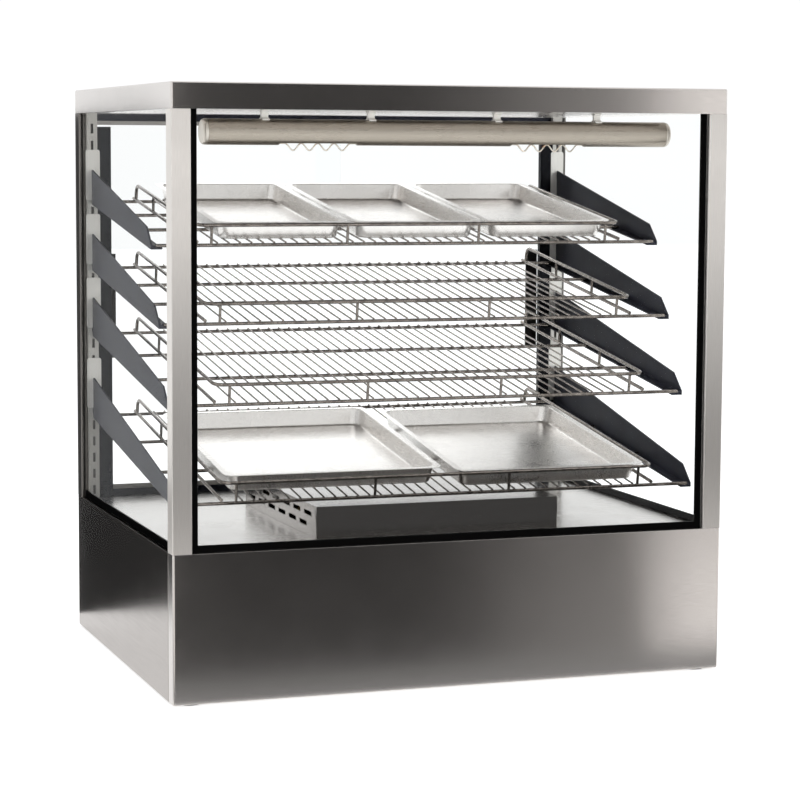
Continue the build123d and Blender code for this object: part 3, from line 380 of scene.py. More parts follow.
@dataclass(frozen=True)
class HeatTinted(Finish):
    """Nickel-alloy sheath after many hours of heat: straw, bronze and blue oxide bands."""

    metallic: float = 1.0
    bronze: str = "#8a6a4c"
    blue: str = "#5b5a6b"
    band: float = 60 * MM
    scale: float = 0.8 * MM

    def layers(self) -> tuple[Layer, ...]:
        """The skin of scale on the sheath."""
        return (Layer(self.scale, relief=(0.04 * MM, 0.3)),)

    def extra(self, tree: Tree, place: Socket) -> dict:
        """Runs the oxide colours along the sheath in bands of some centimetres.

        Args:
            tree: The material's tree.
            place: Coordinates in metres.

        Returns:
            The colour, by the name of its input.
        """
        spots = add_node(tree, "ShaderNodeTexNoise", {"Vector": place, "Scale": 1 / self.band, "Detail": 3.0})
        ramp = add_node(tree, "ShaderNodeValToRGB", {"Fac": spots.outputs["Fac"]})
        set_stops(ramp, [(0.3, linear(self.colour)), (0.5, linear(self.bronze)), (0.7, linear(self.blue))])
        return {"Base Color": ramp.outputs["Color"]}


@dataclass(frozen=True)
class Glowing(Finish):
    """Hot tungsten: it gives a little warm light of its own."""

    strength: float = 3.0

    def extra(self, tree: Tree, place: Socket) -> dict:
        """The glow, in the finish's own colour."""
        return {"Emission Color": linear(self.colour), "Emission Strength": self.strength}


# Stainless 1.4301 sheet, brushed with grit 240: lines along the sheet, reflections drawn out across them.
# The base's sides and the rear posts are seen at a slant, so their lines are drawn coarser still.
BASE_STEEL = BrushedSteel(
    "brushed_stainless_base", "#cbc7c4", 0.17, unevenness=0.03, streak=1.0, shade="#aaa6a3"
)
# The side panels are the same steel as the front, given a darker colour: painted shade.
BASE_SIDE_SHADED_STEEL = BrushedSteel(
    "brushed_stainless_base_side",
    "#9e9894",
    0.2,
    brush=Brush.ALONG_Y,
    line=1.5 * MM,
    unevenness=0.02,
    shade="#8c8783",
)
ROOF_STEEL = BrushedSteel(
    "brushed_stainless_roof", "#dad6d3", 0.17, unevenness=0.03, streak=1.0, shade="#bfbbb8"
)
POST_STEEL = BrushedSteel(
    "brushed_stainless_post",
    "#e9e6e2",
    0.36,
    brush=Brush.ALONG_Z,
    unevenness=0.03,
    streak=1.0,
    shade="#bebab6",
)
# The rear posts are the same steel as the front ones, given a darker colour: painted shade.
REAR_POST_SHADED_STEEL = BrushedSteel(
    "brushed_stainless_rear_post",
    "#7d7a77",
    0.36,
    brush=Brush.ALONG_Z,
    line=1.5 * MM,
    unevenness=0.02,
    shade="#6f6c6a",
)
DECK_STEEL = BrushedSteel("brushed_stainless_deck", "#dedbd8", 0.22, shade="#bab7b4")
COVER_STEEL = BrushedSteel("brushed_stainless_cover", "#b4b0ad", 0.14, unevenness=0.03, shade="#8b8885")
CONTROL_STEEL = BrushedSteel("brushed_stainless_control_tray", "#c4c0bc", 0.3)
SCREW_STEEL = BrushedSteel("turned_stainless_screw", "#c6c3bf", 0.25, brush=Brush.ALONG_Z, line=0.3 * MM)
TRAY_STEEL = BrushedSteel("pressed_stainless_tray", "#ebe8e5", 0.26, brush=Brush.ALONG_Y, shade="#cfccc9")
# Zinc-plated strip and can: paler and greyer than the sheets, and duller
MOTOR_STEEL = BrushedSteel("zinc_plated_motor_can", "#a8a6a3", 0.36, brush=Brush.ALONG_Z)
STANDARD_ZINC = BrushedSteel("zinc_plated_strip", "#c6c4bf", 0.42, brush=Brush.ALONG_Z, shade="#9d9a95")
PLATE_ZINC = BrushedSteel("zinc_plated_root_plate", "#e6e4df", 0.45, brush=Brush.ALONG_Z, shade="#cac8c3")
# Extruded aluminium, anodised: satin, die lines run along the profile
TRACK_ALUMINIUM = BrushedSteel("dark_anodised_aluminium_track", "#303138", 0.38, shade="#232429")
DOOR_ALUMINIUM = BrushedSteel("anodised_aluminium_door_rail", "#a9a6a2", 0.36)
LAMP_ALUMINIUM = BrushedSteel("anodised_aluminium_lamp_body", "#a79f94", 0.29, shade="#867e74")
CAP_ALUMINIUM = BrushedSteel("spun_aluminium_end_cap", "#cfc9c0", 0.34, brush=Brush.ALONG_Z, shade="#a59f96")
# Drawn and welded wire, chromed: mirror-like; the shelf wire's dark colour is a painted reflection of the dim
# room
SHELF_SHADED_CHROME = PlatedWire("chromed_shelf_wire", "#8c857f", 0.2, shade="#4c4642")
GUARD_CHROME = PlatedWire("chromed_guard_wire", "#e6dfd4", 0.3, shade="#bdb5a9")
# Baked powder on folded steel: satin charcoal with a blue cast, and plain black
BRACKET_COAT = PowderCoat("charcoal_powder_coat", "#2d2e36", 0.42)
UPRIGHT_COAT = PowderCoat("black_powder_coat", "#1d1e23", 0.4, shade="#141417")
# Moulded plastic, rubber, pressed ceramic and printed ink: satin with a fine grain, which breaks up the
# highlights; each has the usual index of refraction of its material
SEAL_RUBBER = Moulded("epdm_edge_seal", "#0d0c0d", 0.6, ior=1.47, grain=1.2 * MM)
FOOT_RUBBER = Moulded("moulded_rubber_foot", "#1b1a1a", 0.75, ior=1.47, grain=1.2 * MM)
HANGER_NYLON = Moulded("white_nylon_clip", "#efece7", 0.35, ior=1.53, shade="#d9d4cb")
KNOB_ABS = Moulded("black_abs_knob", "#18181a", 0.38, ior=1.54)
SWITCH_NYLON = Moulded("black_nylon_switch", "#161617", 0.42, ior=1.53)
GLAND_NYLON = Moulded("black_nylon_gland", "#1a1a1b", 0.48, ior=1.53)
FAN_NYLON = Moulded("black_glass_filled_nylon_fan", "#17171a", 0.5, ior=1.53)
THERMOSTAT_RESIN = Moulded("white_phenolic_thermostat", "#ded9cf", 0.5, ior=1.6, shade="#c9c2b4")
TERMINAL_NYLON = Moulded("natural_polyamide_terminal", "#e4e0d6", 0.45, ior=1.53, shade="#cfc9bb")
HOLDER_CERAMIC = Moulded("pressed_steatite_holder", "#e8e3da", 0.62, ior=1.6, shade="#cdc5b8")
MARK_INK = Moulded("white_screen_print", "#e9e8e4", 0.6, shade="#d6d4cf")
DARK_INK = Moulded("black_screen_print", "#1e1d1d", 0.6)
ROCKER_GREEN = Moulded("translucent_green_rocker", "#1f8a45", 0.3, ior=1.53, shade="#166b35")
# Clear pieces; the panes bend light less than real glass does, so that their own reflection stays faint
PANE_GLASS = Clear("clear_float_glass", "#fdfefe", ior=1.03)
QUARTZ = Clear("fused_quartz_tube", "#fdfcf9", ior=1.46)
PILOT_LENS = Clear("amber_polycarbonate_lens", "#f0962a", 0.08, ior=1.58)
# Hot parts: oxide colours along the sheath, and a faint warm light from the coiled wire
ELEMENT_SHEATH = HeatTinted("oxidised_alloy_sheath", "#a48c68", 0.34)
TUNGSTEN = Glowing("tungsten_filament", "#ffd9a0", 0.4)


# Mesh work


@dataclass(frozen=True)
class Fluting:
    """Hollow flutes round some rings of a turned piece; depth is a share of the radius."""

    count: int = 0
    depth: float = 0.0
    rings: tuple[int, ...] = ()

    def hollow(self, ring: int, angle: float) -> float:
        """Gives the share of the radius that a flute cuts away.

        Args:
            ring: Number of the ring.
            angle: Angle round the axis, in radians.

        Returns:
            The share, which is 0 on a plain ring.
        """
        if ring not in self.rings:
            return 0.0
        return self.depth * (0.5 + 0.5 * math.cos(self.count * angle)) ** 3


PLAIN = Fluting()


def work_mesh(work: Work, name: str) -> Mesh:
    """Turns a bmesh into a smooth-shaded mesh and frees it.

    Args:
        work: The finished bmesh.
        name: Name of the mesh.

    Returns:
        The mesh.
    """
    for face in work.faces:
        face.smooth = True
    mesh = bpy.data.meshes.new(name)
    work.to_mesh(mesh)
    work.free()
    return mesh


def join_rings(work: Work, rings: Sequence[Sequence[bmesh.types.BMVert]], around: bool = True) -> None:
    """Fills the faces between rings that follow each other.

    Args:
        work: Mesh of the rings.
        rings: Their corners; a ring of one corner is a pole.
        around: Whether each ring runs all round, or is an open line.
    """
    steps = max(len(ring) for ring in rings)
    for low, high in zip(rings, rings[1:]):
        for step in range(steps if around else steps - 1):
            pairs = [(low, step), (low, step + 1), (high, step + 1), (high, step)]
            corners = [ring[at % steps % len(ring)] for ring, at in pairs]
            work.faces.new(list(dict.fromkeys(corners)))


def lathe(profile: Sequence[Pair], steps: int, fluting: Fluting = PLAIN) -> Work:
    """Turns a profile about local Z, with poles closed where the radius is zero.

    Args:
        profile: Radius and height of each ring, from one end to the other.
        steps: Sides round the axis.
        fluting: Flutes of the piece.

    Returns:
        The turned skin, normals outwards.
    """
    work = bmesh.new()
    angles = [2 * math.pi * step / steps for step in range(steps)]
    rings = []
    for number, (radius, height) in enumerate(profile):
        ring = []
        for angle in angles if radius else angles[:1]:
            reach = radius * (1 - fluting.hollow(number, angle))
            ring.append(work.verts.new((reach * math.cos(angle), reach * math.sin(angle), height)))
        rings.append(ring)
    join_rings(work, rings)
    bmesh.ops.recalc_face_normals(work, faces=work.faces)
    return work


def extruded(outline: Sequence[Pair], low: float, high: float) -> Work:
    """Makes a solid with a flat outline in local XY.

    Args:
        outline: Points of the outline.
        low: Height of its lower face.
        high: Height of its upper face.

    Returns:
        The solid, normals outwards.
    """
    work = bmesh.new()
    rings = [[work.verts.new((x, y, z)) for x, y in outline] for z in (low, high)]
    work.faces.new(rings[0][::-1])
    work.faces.new(rings[1])
    join_rings(work, rings)
    bmesh.ops.recalc_face_normals(work, faces=work.faces)
    return work


def corner_rounded(width: float, depth: float, corner: float, steps: int) -> list[Pair]:
    """Outline of a rectangle about the origin with round corners, anticlockwise.

    Args:
        width: Its size along X.
        depth: Its size along Y.
        corner: Radius of the corners.
        steps: Chords in each corner.

    Returns:
        The points of the outline.
    """
    points = []
    for quarter, (x, y) in enumerate(((1, 1), (-1, 1), (-1, -1), (1, -1))):
        middle_x, middle_y = x * (width / 2 - corner), y * (depth / 2 - corner)
        for step in range(steps + 1):
            angle = QUARTER * (quarter + step / steps)
            points.append((middle_x + corner * math.cos(angle), middle_y + corner * math.sin(angle)))
    return points


def merged_copy(node: str) -> Work:
    """Copies a CAD node's mesh, joined and freed of the edges inside its flat faces.

    Args:
        node: The CAD node.

    Returns:
        The copy.
    """
    work = bmesh.new()
    work.from_mesh(frame["nodes"][node].data)
    bmesh.ops.remove_doubles(work, verts=work.verts, dist=0.002 * MM)
    bmesh.ops.dissolve_limit(work, angle_limit=math.radians(1), verts=work.verts, edges=work.edges)
    return work


def temporary(data: bpy.types.ID) -> Thing:
    """Puts a mesh or a text into the scene as an object that modifiers can work on.

    Args:
        data: The mesh or the text.

    Returns:
        The object.
    """
    thing = bpy.data.objects.new("temporary", data)
    bpy.context.scene.collection.objects.link(thing)
    return thing


def evaluated(thing: Thing, name: str) -> Mesh:
    """Turns a temporary object with its modifiers into a plain mesh and removes the object.

    Args:
        thing: Temporary object.
        name: Name of the result.

    Returns:
        The mesh that the modifiers give.
    """
    bpy.context.view_layer.update()
    graph = bpy.context.evaluated_depsgraph_get()
    found = thing.evaluated_get(graph)
    mesh = bpy.data.meshes.new_from_object(found, preserve_all_data_layers=True, depsgraph=graph)
    mesh.name = name
    bpy.data.objects.remove(thing)
    return mesh


def thickened(mesh: Mesh, wall: float) -> Mesh:
    """Gives an open skin a wall inwards.

    Args:
        mesh: The skin.
        wall: Thickness of the wall.

    Returns:
        The closed mesh.
    """
    thing = temporary(mesh)
    solid = thing.modifiers.new("wall", "SOLIDIFY")
    solid.thickness = wall
    solid.offset = -1
    return evaluated(thing, mesh.name)


def cut_out(mesh: Mesh, tool: Mesh) -> Mesh:
    """Takes the shape of one closed mesh out of another.

    Args:
        mesh: The mesh that is cut.
        tool: The mesh that cuts it.

    Returns:
        The mesh with the cut.
    """
    thing, cutter = temporary(mesh), temporary(tool)
    cut = thing.modifiers.new("cut", "BOOLEAN")
    cut.object = cutter
    cut.operation = "DIFFERENCE"
    made = evaluated(thing, mesh.name)
    bpy.data.objects.remove(cutter)
    return made


def rounded(mesh: Mesh, edge: float, segments: int = 2) -> Mesh:
    """Rounds every sharp edge of a closed skin and keeps the flat faces flat to the light.

    Args:
        mesh: The skin.
        edge: Width of the rounding in metres.
        segments: Faces across the rounding.

    Returns:
        The finished mesh.
    """
    thing = temporary(mesh)
    bevel = thing.modifiers.new("edges", "BEVEL")
    bevel.width = edge
    bevel.segments = segments
    bevel.limit_method = "ANGLE"
    bevel.angle_limit = SHARP
    thing.modifiers.new("normals", "WEIGHTED_NORMAL")
    return evaluated(thing, mesh.name)


class SubAssembly:
    """A group of pieces that is built together and reported piece by piece."""

    def place(
        self,
        name: str,
        mesh: Mesh,
        finish: Finish,
        body: str,
        slot: str,
        nodes: Sequence[str] = (),
        where: Matrix | None = None,
    ) -> Thing:
        """Puts a finished mesh into the scene as a piece.

        Args:
            name: Name of the piece.
            mesh: Its mesh, in metres.
            finish: Its finish.
            body: CAD body that it moves with.
            slot: The record's material slot; not used.
            nodes: CAD nodes that it stands for.
            where: Place of the mesh, where it was built at the origin.

        Returns:
            The new object, at the origin.
        """
        if where is not None:
            mesh.transform(where)
        mesh.name = name
        mesh.materials.clear()
        mesh.materials.append(finish.material())
        piece = bpy.data.objects.new(name, mesh)
        bpy.context.scene.collection.objects.link(piece)
        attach(piece, body)
        if nodes:
            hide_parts(*nodes)
        LOG.info("%s: %d faces on %s", name, len(mesh.polygons), body)
        return piece

    def soften(self, node: str, finish: Finish, slot: str, edge: float, work: Work | None = None) -> Thing:
        """Replaces a CAD node by a copy with rounded edges.

        Args:
            node: The CAD node.
            finish: Its finish.
            slot: The record's material slot.
            edge: Width of the rounding in metres.
            work: Copy of the node that is already reshaped, or None for a plain one.

        Returns:
            The new piece.
        """
        name = node + "_finished"
        mesh = rounded(work_mesh(work or merged_copy(node), name), edge)
        return self.place(name, mesh, finish, frame["nodes"][node]["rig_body"], slot, [node])

    def dress(self, node: str, finish: Finish) -> None:
        """Gives a CAD node that stays in view its finish.

        Args:
            node: The CAD node.
            finish: Its finish.
        """
        thing = frame["nodes"][node]
        thing.data.materials.clear()
        thing.data.materials.append(finish.material())
        LOG.info("%s: CAD node dressed", node)


# Geometry Nodes


class GrowTree:
    """A Geometry Nodes group with named inputs that is run once and turned into a plain mesh."""

    def __init__(self, name: str, inputs: dict[str, str]) -> None:
        """Makes the group with its inputs.

        Args:
            name: Name of the group.
            inputs: Kind of each input, such as Float or Int, by name.
        """
        self.tree = bpy.data.node_groups.new(name, "GeometryNodeTree")
        self.keys = {}
        for label, kind in {"Geometry": "Geometry", **inputs, "Finish": "Material"}.items():
            made = self.tree.interface.new_socket(label, in_out="INPUT", socket_type="NodeSocket" + kind)
            self.keys[label] = made.identifier
        self.tree.interface.new_socket("Geometry", in_out="OUTPUT", socket_type="NodeSocketGeometry")
        self.inlet = self.add("NodeGroupInput").outputs

    def add(self, kind: str, inputs: dict | None = None, **settings: object) -> bpy.types.Node:
        """Adds a node to the group."""
        return add_node(self.tree, kind, inputs, **settings)

    def close(self, geometry: Socket) -> None:
        """Ends the group with real geometry, smooth shading and the finish.

        Args:
            geometry: The output socket with the group's result.
        """
        real = self.add("GeometryNodeRealizeInstances", {"Geometry": geometry}).outputs["Geometry"]
        smooth = self.add("GeometryNodeSetShadeSmooth", {"Geometry": real}).outputs["Geometry"]
        dressed = self.add("GeometryNodeSetMaterial", {"Geometry": smooth, "Material": self.inlet["Finish"]})
        self.add("NodeGroupOutput", {"Geometry": dressed.outputs["Geometry"]})

    def run(self, base: Mesh, name: str, finish: Finish, **values: object) -> Mesh:
        """Runs the group on a mesh.

        Args:
            base: Mesh that the group starts from.
            name: Name of the result.
            finish: Finish of the result.
            values: Value of each input, by name.

        Returns:
            The plain mesh.
        """
        thing = temporary(base)
        modifier = thing.modifiers.new("grow", "NODES")
        modifier.node_group = self.tree
        for label, value in {**values, "Finish": finish.material()}.items():
            modifier[self.keys[label]] = value
        return evaluated(thing, name)


class WireTree(GrowTree):
    """Turns polylines into round wires with filleted bends."""

    def __init__(self) -> None:
        """Builds the group."""
        super().__init__("bent_wires", {"Radius": "Float", "Bend": "Float", "Sides": "Int", "Steps": "Int"})
        lines = self.add("GeometryNodeMeshToCurve", {"Mesh": self.inlet["Geometry"]}).outputs["Curve"]
        fillet = {"Curve": lines, "Radius": self.inlet["Bend"], "Count": self.inlet["Steps"]}
        fillet["Limit Radius"] = True
        bends = self.add("GeometryNodeFilletCurve", fillet, mode="POLY").outputs["Curve"]
        circle = {"Radius": self.inlet["Radius"], "Resolution": self.inlet["Sides"]}
        ring = self.add("GeometryNodeCurvePrimitiveCircle", circle).outputs["Curve"]
        sweep = {"Curve": bends, "Profile Curve": ring, "Fill Caps": True}
        self.close(self.add("GeometryNodeCurveToMesh", sweep).outputs["Mesh"])

    def bend(
        self,
        lines: Sequence[Sequence[Point]],
        name: str,
        finish: Finish,
        radius: float,
        bend: float = 0.0,
        sides: int = 12,
    ) -> Mesh:
        """Makes round wires along polylines.

        Args:
            lines: Corner points of each wire.
            name: Name of the mesh.
            finish: Finish of the wires.
            radius: Half the wire's thickness.
            bend: Radius of the bends.
            sides: Sides round the wire.

        Returns:
            One mesh of all wires.
        """
        points = []
        edges = []
        for line in lines:
            start = len(points)
            points += [tuple(point) for point in line]
            edges += [(i, i + 1) for i in range(start, len(points) - 1)]
        base = bpy.data.meshes.new(name + "_lines")
        base.from_pydata(points, edges, [])
        return self.run(base, name, finish, Radius=radius, Bend=bend, Sides=sides, Steps=8)


class RowTree(GrowTree):
    """Repeats one straight wire across a shelf at an even pitch."""

    def __init__(self) -> None:
        """Builds the group."""
        floats = dict.fromkeys(("Pitch", "Length", "Radius", "Rise"), "Float")
        super().__init__("floor_wires", {**floats, "Count": "Int"})
        first = self.inlet["Count"]
        for operation, number in (("SUBTRACT", 1.0), ("MULTIPLY", -0.5), ("MULTIPLY", self.inlet["Pitch"])):
            first = self.add("ShaderNodeMath", {0: first, 1: number}, operation=operation).outputs[0]
        start = self.add("ShaderNodeCombineXYZ", {"X": first, "Z": self.inlet["Rise"]}).outputs["Vector"]
        step = self.add("ShaderNodeCombineXYZ", {"X": self.inlet["Pitch"]}).outputs["Vector"]
        places = {"Count": self.inlet["Count"], "Start Location": start, "Offset": step}
        row = self.add("GeometryNodeMeshLine", places).outputs["Mesh"]
        end = self.add("ShaderNodeCombineXYZ", {"Y": self.inlet["Length"]}).outputs["Vector"]
        line = self.add("GeometryNodeCurvePrimitiveLine", {"End": end}).outputs["Curve"]
        circle = {"Radius": self.inlet["Radius"], "Resolution": 10}
        ring = self.add("GeometryNodeCurvePrimitiveCircle", circle).outputs["Curve"]
        sweep = {"Curve": line, "Profile Curve": ring, "Fill Caps": True}
        wire = self.add("GeometryNodeCurveToMesh", sweep).outputs["Mesh"]
        copies = self.add("GeometryNodeInstanceOnPoints", {"Points": row, "Instance": wire})
        self.close(copies.outputs["Instances"])


class CopyTree(GrowTree):
    """Sets a copy of one small piece on every point of the base mesh, each turned at random."""

    def __init__(self) -> None:
        """Builds the group."""
        super().__init__("copies", {"Piece": "Object", "Turn": "Float", "Seed": "Int"})
        source = self.add("GeometryNodeObjectInfo", {"Object": self.inlet["Piece"]}).outputs["Geometry"]
        back = self.add("ShaderNodeMath", {0: self.inlet["Turn"], 1: -1.0}, operation="MULTIPLY").outputs[0]
        limits = {"Min": back, "Max": self.inlet["Turn"], "Seed": self.inlet["Seed"]}
        angle = self.add("FunctionNodeRandomValue", limits, data_type="FLOAT")
        value = next(s for s in angle.outputs if s.enabled)
        turn = self.add("ShaderNodeCombineXYZ", {"Y": value}).outputs["Vector"]
        places = {"Points": self.inlet["Geometry"], "Instance": source, "Rotation": turn}
        self.close(self.add("GeometryNodeInstanceOnPoints", places).outputs["Instances"])

    def spread(
        self, points: Sequence[Point], small: Mesh, name: str, finish: Finish, turn: float = 0.0
    ) -> Mesh:
        """Copies a small mesh to each point.

        Args:
            points: Where the copies go.
            small: The mesh of one copy, at the origin.
            name: Name of the result.
            finish: Finish of the copies.
            turn: Largest random turn about Y either way, in radians.

        Returns:
            One mesh of all copies.
        """
        source = temporary(small)
        base = bpy.data.meshes.new(name + "_points")
        base.from_pydata([tuple(point) for point in points], [], [])
        made = self.run(base, name, finish, Piece=source, Turn=turn, Seed=7)
        bpy.data.objects.remove(source)
        return made


WIRES = WireTree()
ROWS = RowTree()
COPIES = CopyTree()


# Sub-assemblies


@dataclass
class Base(SubAssembly):
    """Plinth of folded stainless sheet with the bright deck on top."""

    edge: float = 0.35 * MM
    fold: float = 0.5 * MM
    louvre_length: float = 70 * MM
    louvre_height: float = 7 * MM
    louvre_proud: float = 2.4 * MM
    louvre_sheet: float = 0.7 * MM
    louvre_pitch: float = 12 * MM
    louvres: int = 10
    louvre_columns: Pair = (-0.218, -0.122)
    louvre_z: float = 0.110
    louvre_rows: int = 5
    louvre_steps: int = 12
    screw_radius: float = 4 * MM
    screw_height: float = 2 * MM
    screw_x: float = 0.330
    screw_rows: Pair = (0.016, 0.192)
    foot_radius: float = 20 * MM

    def build(self) -> None:
        """Builds the panels, deck, feet, vent hoods and screws."""
        self.soften("base_front_panel", BASE_STEEL, "base_steel", self.fold)
        for side in ("left", "right"):
            self.soften("base_side_panel_" + side, BASE_SIDE_SHADED_STEEL, "base_steel", self.fold)
        self.soften("base_floor", BASE_STEEL, "base_steel", self.edge)
        self.soften("rear_panel", BASE_STEEL, "base_steel", self.edge)
        self.soften("deck", DECK_STEEL, "deck_steel", self.edge)
        self.hoods()
        self.screws()
        self.feet()

    def hoods(self) -> None:
        """Pressed hoods over the vent slots of the rear panel, open below."""
        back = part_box("rear_panel")[1].y
        work = bmesh.new()
        rows = []
        for row in range(self.louvre_rows + 1):
            rise = row / self.louvre_rows
            line = []
            for column in range(self.louvre_steps + 1):
                along = 2 * column / self.louvre_steps - 1
                swell = math.cos(rise * QUARTER) * math.sqrt(max(0.0, 1 - along**6))
                x, z = along * self.louvre_length / 2, (rise - 0.5) * self.louvre_height
                line.append(work.verts.new((x, self.louvre_proud * swell, z)))
            rows.append(line)
        join_rings(work, rows[::-1], around=False)
        hood = thickened(work_mesh(work, "hood"), self.louvre_sheet)
        middle = (self.louvres - 1) / 2
        heights = [self.louvre_z + (i - middle) * self.louvre_pitch for i in range(self.louvres)]
        points = [(x, back, z) for x in self.louvre_columns for z in heights]
        mesh = COPIES.spread(points, hood, "vent_hoods", BASE_STEEL)
        self.place("vent_hoods", mesh, BASE_STEEL, "cabinet", "base_steel")

    def screws(self) -> None:
        """Pan-head screws with a cross recess, each stopped at its own angle."""
        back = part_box("rear_panel")[1].y
        r, h = self.screw_radius, self.screw_height
        head = [(0, -h), (r * 0.5, -h), (r * 0.5, 0), (r, 0)]
        head += [(r, h * 0.45), (r * 0.86, h * 0.8), (r * 0.5, h * 0.97), (0, h)]
        arm, slit = r * 0.55, r * 0.13
        cross = [(slit, slit), (slit, arm), (-slit, arm), (-slit, slit), (-arm, slit), (-arm, -slit)]
        cross += [(-slit, -slit), (-slit, -arm), (slit, -arm), (slit, -slit), (arm, -slit), (arm, slit)]
        tool = work_mesh(extruded(cross, h * 0.3, h * 1.5), "cross")
        screw = cut_out(work_mesh(lathe(head, 32), "screw"), tool)
        screw.transform(Matrix.Rotation(-QUARTER, 4, "X"))
        screw.set_sharp_from_angle(angle=math.radians(35))
        points = [(x, back, z) for x in (-self.screw_x, 0, self.screw_x) for z in self.screw_rows]
        made = COPIES.spread(points, screw, "panel_screw_heads", SCREW_STEEL, math.pi)
        self.place("panel_screw_heads", made, SCREW_STEEL, "cabinet", "screw_steel", ["panel_screws"])

    def feet(self) -> None:
        """Low round rubber pads with a soft lower rim."""
        low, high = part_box("feet")
        r, h = self.foot_radius, high.z
        pad = [(0, 0), (r - 1.2 * MM, 0), (r - 0.3 * MM, 0.4 * MM), (r, 1.1 * MM)]
        pad += [(r, h - 0.1 * MM), (r - 0.2 * MM, h), (0, h)]
        points = [(x, y, 0) for x in (low.x + r, high.x - r) for y in (low.y + r, high.y - r)]
        made = COPIES.spread(points, work_mesh(lathe(pad, 48), "pad"), "rubber_feet", FOOT_RUBBER)
        self.place("rubber_feet", made, FOOT_RUBBER, "cabinet", "foot_rubber", ["feet"])


@dataclass
class Cabinet(SubAssembly):
    """Corner posts, folded roof, ceiling, panes and their black edge seals."""

    post_edge: float = 0.45 * MM
    roof_edge: float = 0.3 * MM
    roof_fold: float = 2.4 * MM
    ceiling_edge: float = 0.2 * MM
    seal_edge: float = 0.4 * MM
    arris: float = 0.5 * MM

    def build(self) -> None:
        """Builds the upper cabinet."""
        for side in ("left", "right"):
            self.soften("post_front_" + side, POST_STEEL, "post_steel", self.post_edge)
            self.soften("post_rear_" + side, REAR_POST_SHADED_STEEL, "post_steel", self.post_edge)
        self.soften("roof_cap", ROOF_STEEL, "roof_steel", self.roof_edge, self.folded_roof())
        self.soften("ceiling_panel", ROOF_STEEL, "roof_steel", self.ceiling_edge)
        for pane in ("front_glass", "side_glass_left", "side_glass_right"):
            self.soften(pane, PANE_GLASS, "clear_glass", self.arris).visible_shadow = False
        self.soften("glass_seals", SEAL_RUBBER, "black_seal", self.seal_edge)

    def folded_roof(self) -> Work:
        """Copies the roof and rounds the wider fold of the sheet along its top.

        Returns:
            The copy.
        """
        work = merged_copy("roof_cap")
        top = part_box("roof_cap")[1].z - 0.01 * MM
        rim = [e for e in work.edges if e.calc_face_angle(0.0) > SHARP and all(v.co.z > top for v in e.verts)]
        bmesh.ops.bevel(work, geom=rim, offset=self.roof_fold, segments=5, profile=0.5, affect="EDGES")
        return work


@dataclass
class RearDoors(SubAssembly):
    """Two sliding panes in double tracks."""

    edge: float = 0.3 * MM

    def build(self) -> None:
        """Builds the tracks and both doors."""
        for track in ("door_track_bottom", "door_track_top"):
            self.soften(track, TRACK_ALUMINIUM, "track_dark", self.edge)
        for side in ("left", "right"):
            self.soften("door_glass_" + side, PANE_GLASS, "clear_glass", self.edge).visible_shadow = False
            self.soften("door_fittings_" + side, DOOR_ALUMINIUM, "door_rail", self.edge)


@dataclass
class Supports(SubAssembly):
    """Slotted standards, black uprights and the sloping shelf brackets."""

    edge: float = 0.3 * MM
    levels: int = 4
    plate_inner: float = 0.3685
    plate_outer: float = 0.3900
    plate_sheet: float = 1.2 * MM
    plate_edge: float = 0.25 * MM
    plate_rise: float = 30 * MM
    plate_drop: float = 46 * MM
    plate_corner: float = 3 * MM
    plate_steps: int = 4

    def build(self) -> None:
        """Builds everything that carries the shelves."""
        self.soften("standards", STANDARD_ZINC, "standard_pale", self.edge)
        self.soften("uprights", UPRIGHT_COAT, "upright_black", self.edge)
        for level in range(1, self.levels + 1):
            for side in ("left", "right"):
                self.soften(f"bracket_{level}_{side}", BRACKET_COAT, "bracket_black", self.edge)
        self.root_plates()

    def root_plates(self) -> None:
        """Pale plates at the roots of the brackets, flat on the standards."""
        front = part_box("standards")[0].y
        width, height = self.plate_outer - self.plate_inner, self.plate_rise + self.plate_drop
        outline = corner_rounded(width, height, self.plate_corner, self.plate_steps)
        plate = rounded(work_mesh(extruded(outline, 0, self.plate_sheet), "plate"), self.plate_edge)
        plate.transform(Matrix.Rotation(QUARTER, 4, "X"))
        middle = (self.plate_outer + self.plate_inner) / 2
        lift = (self.plate_rise - self.plate_drop) / 2
        tops = [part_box(f"bracket_{level}_left")[1].z for level in range(1, self.levels + 1)]
        points = [(side.value * middle, front, top + lift) for side in Side for top in tops]
        made = COPIES.spread(points, plate, "bracket_root_plates", PLATE_ZINC)
        self.place("bracket_root_plates", made, PLATE_ZINC, "cabinet", "standard_pale")


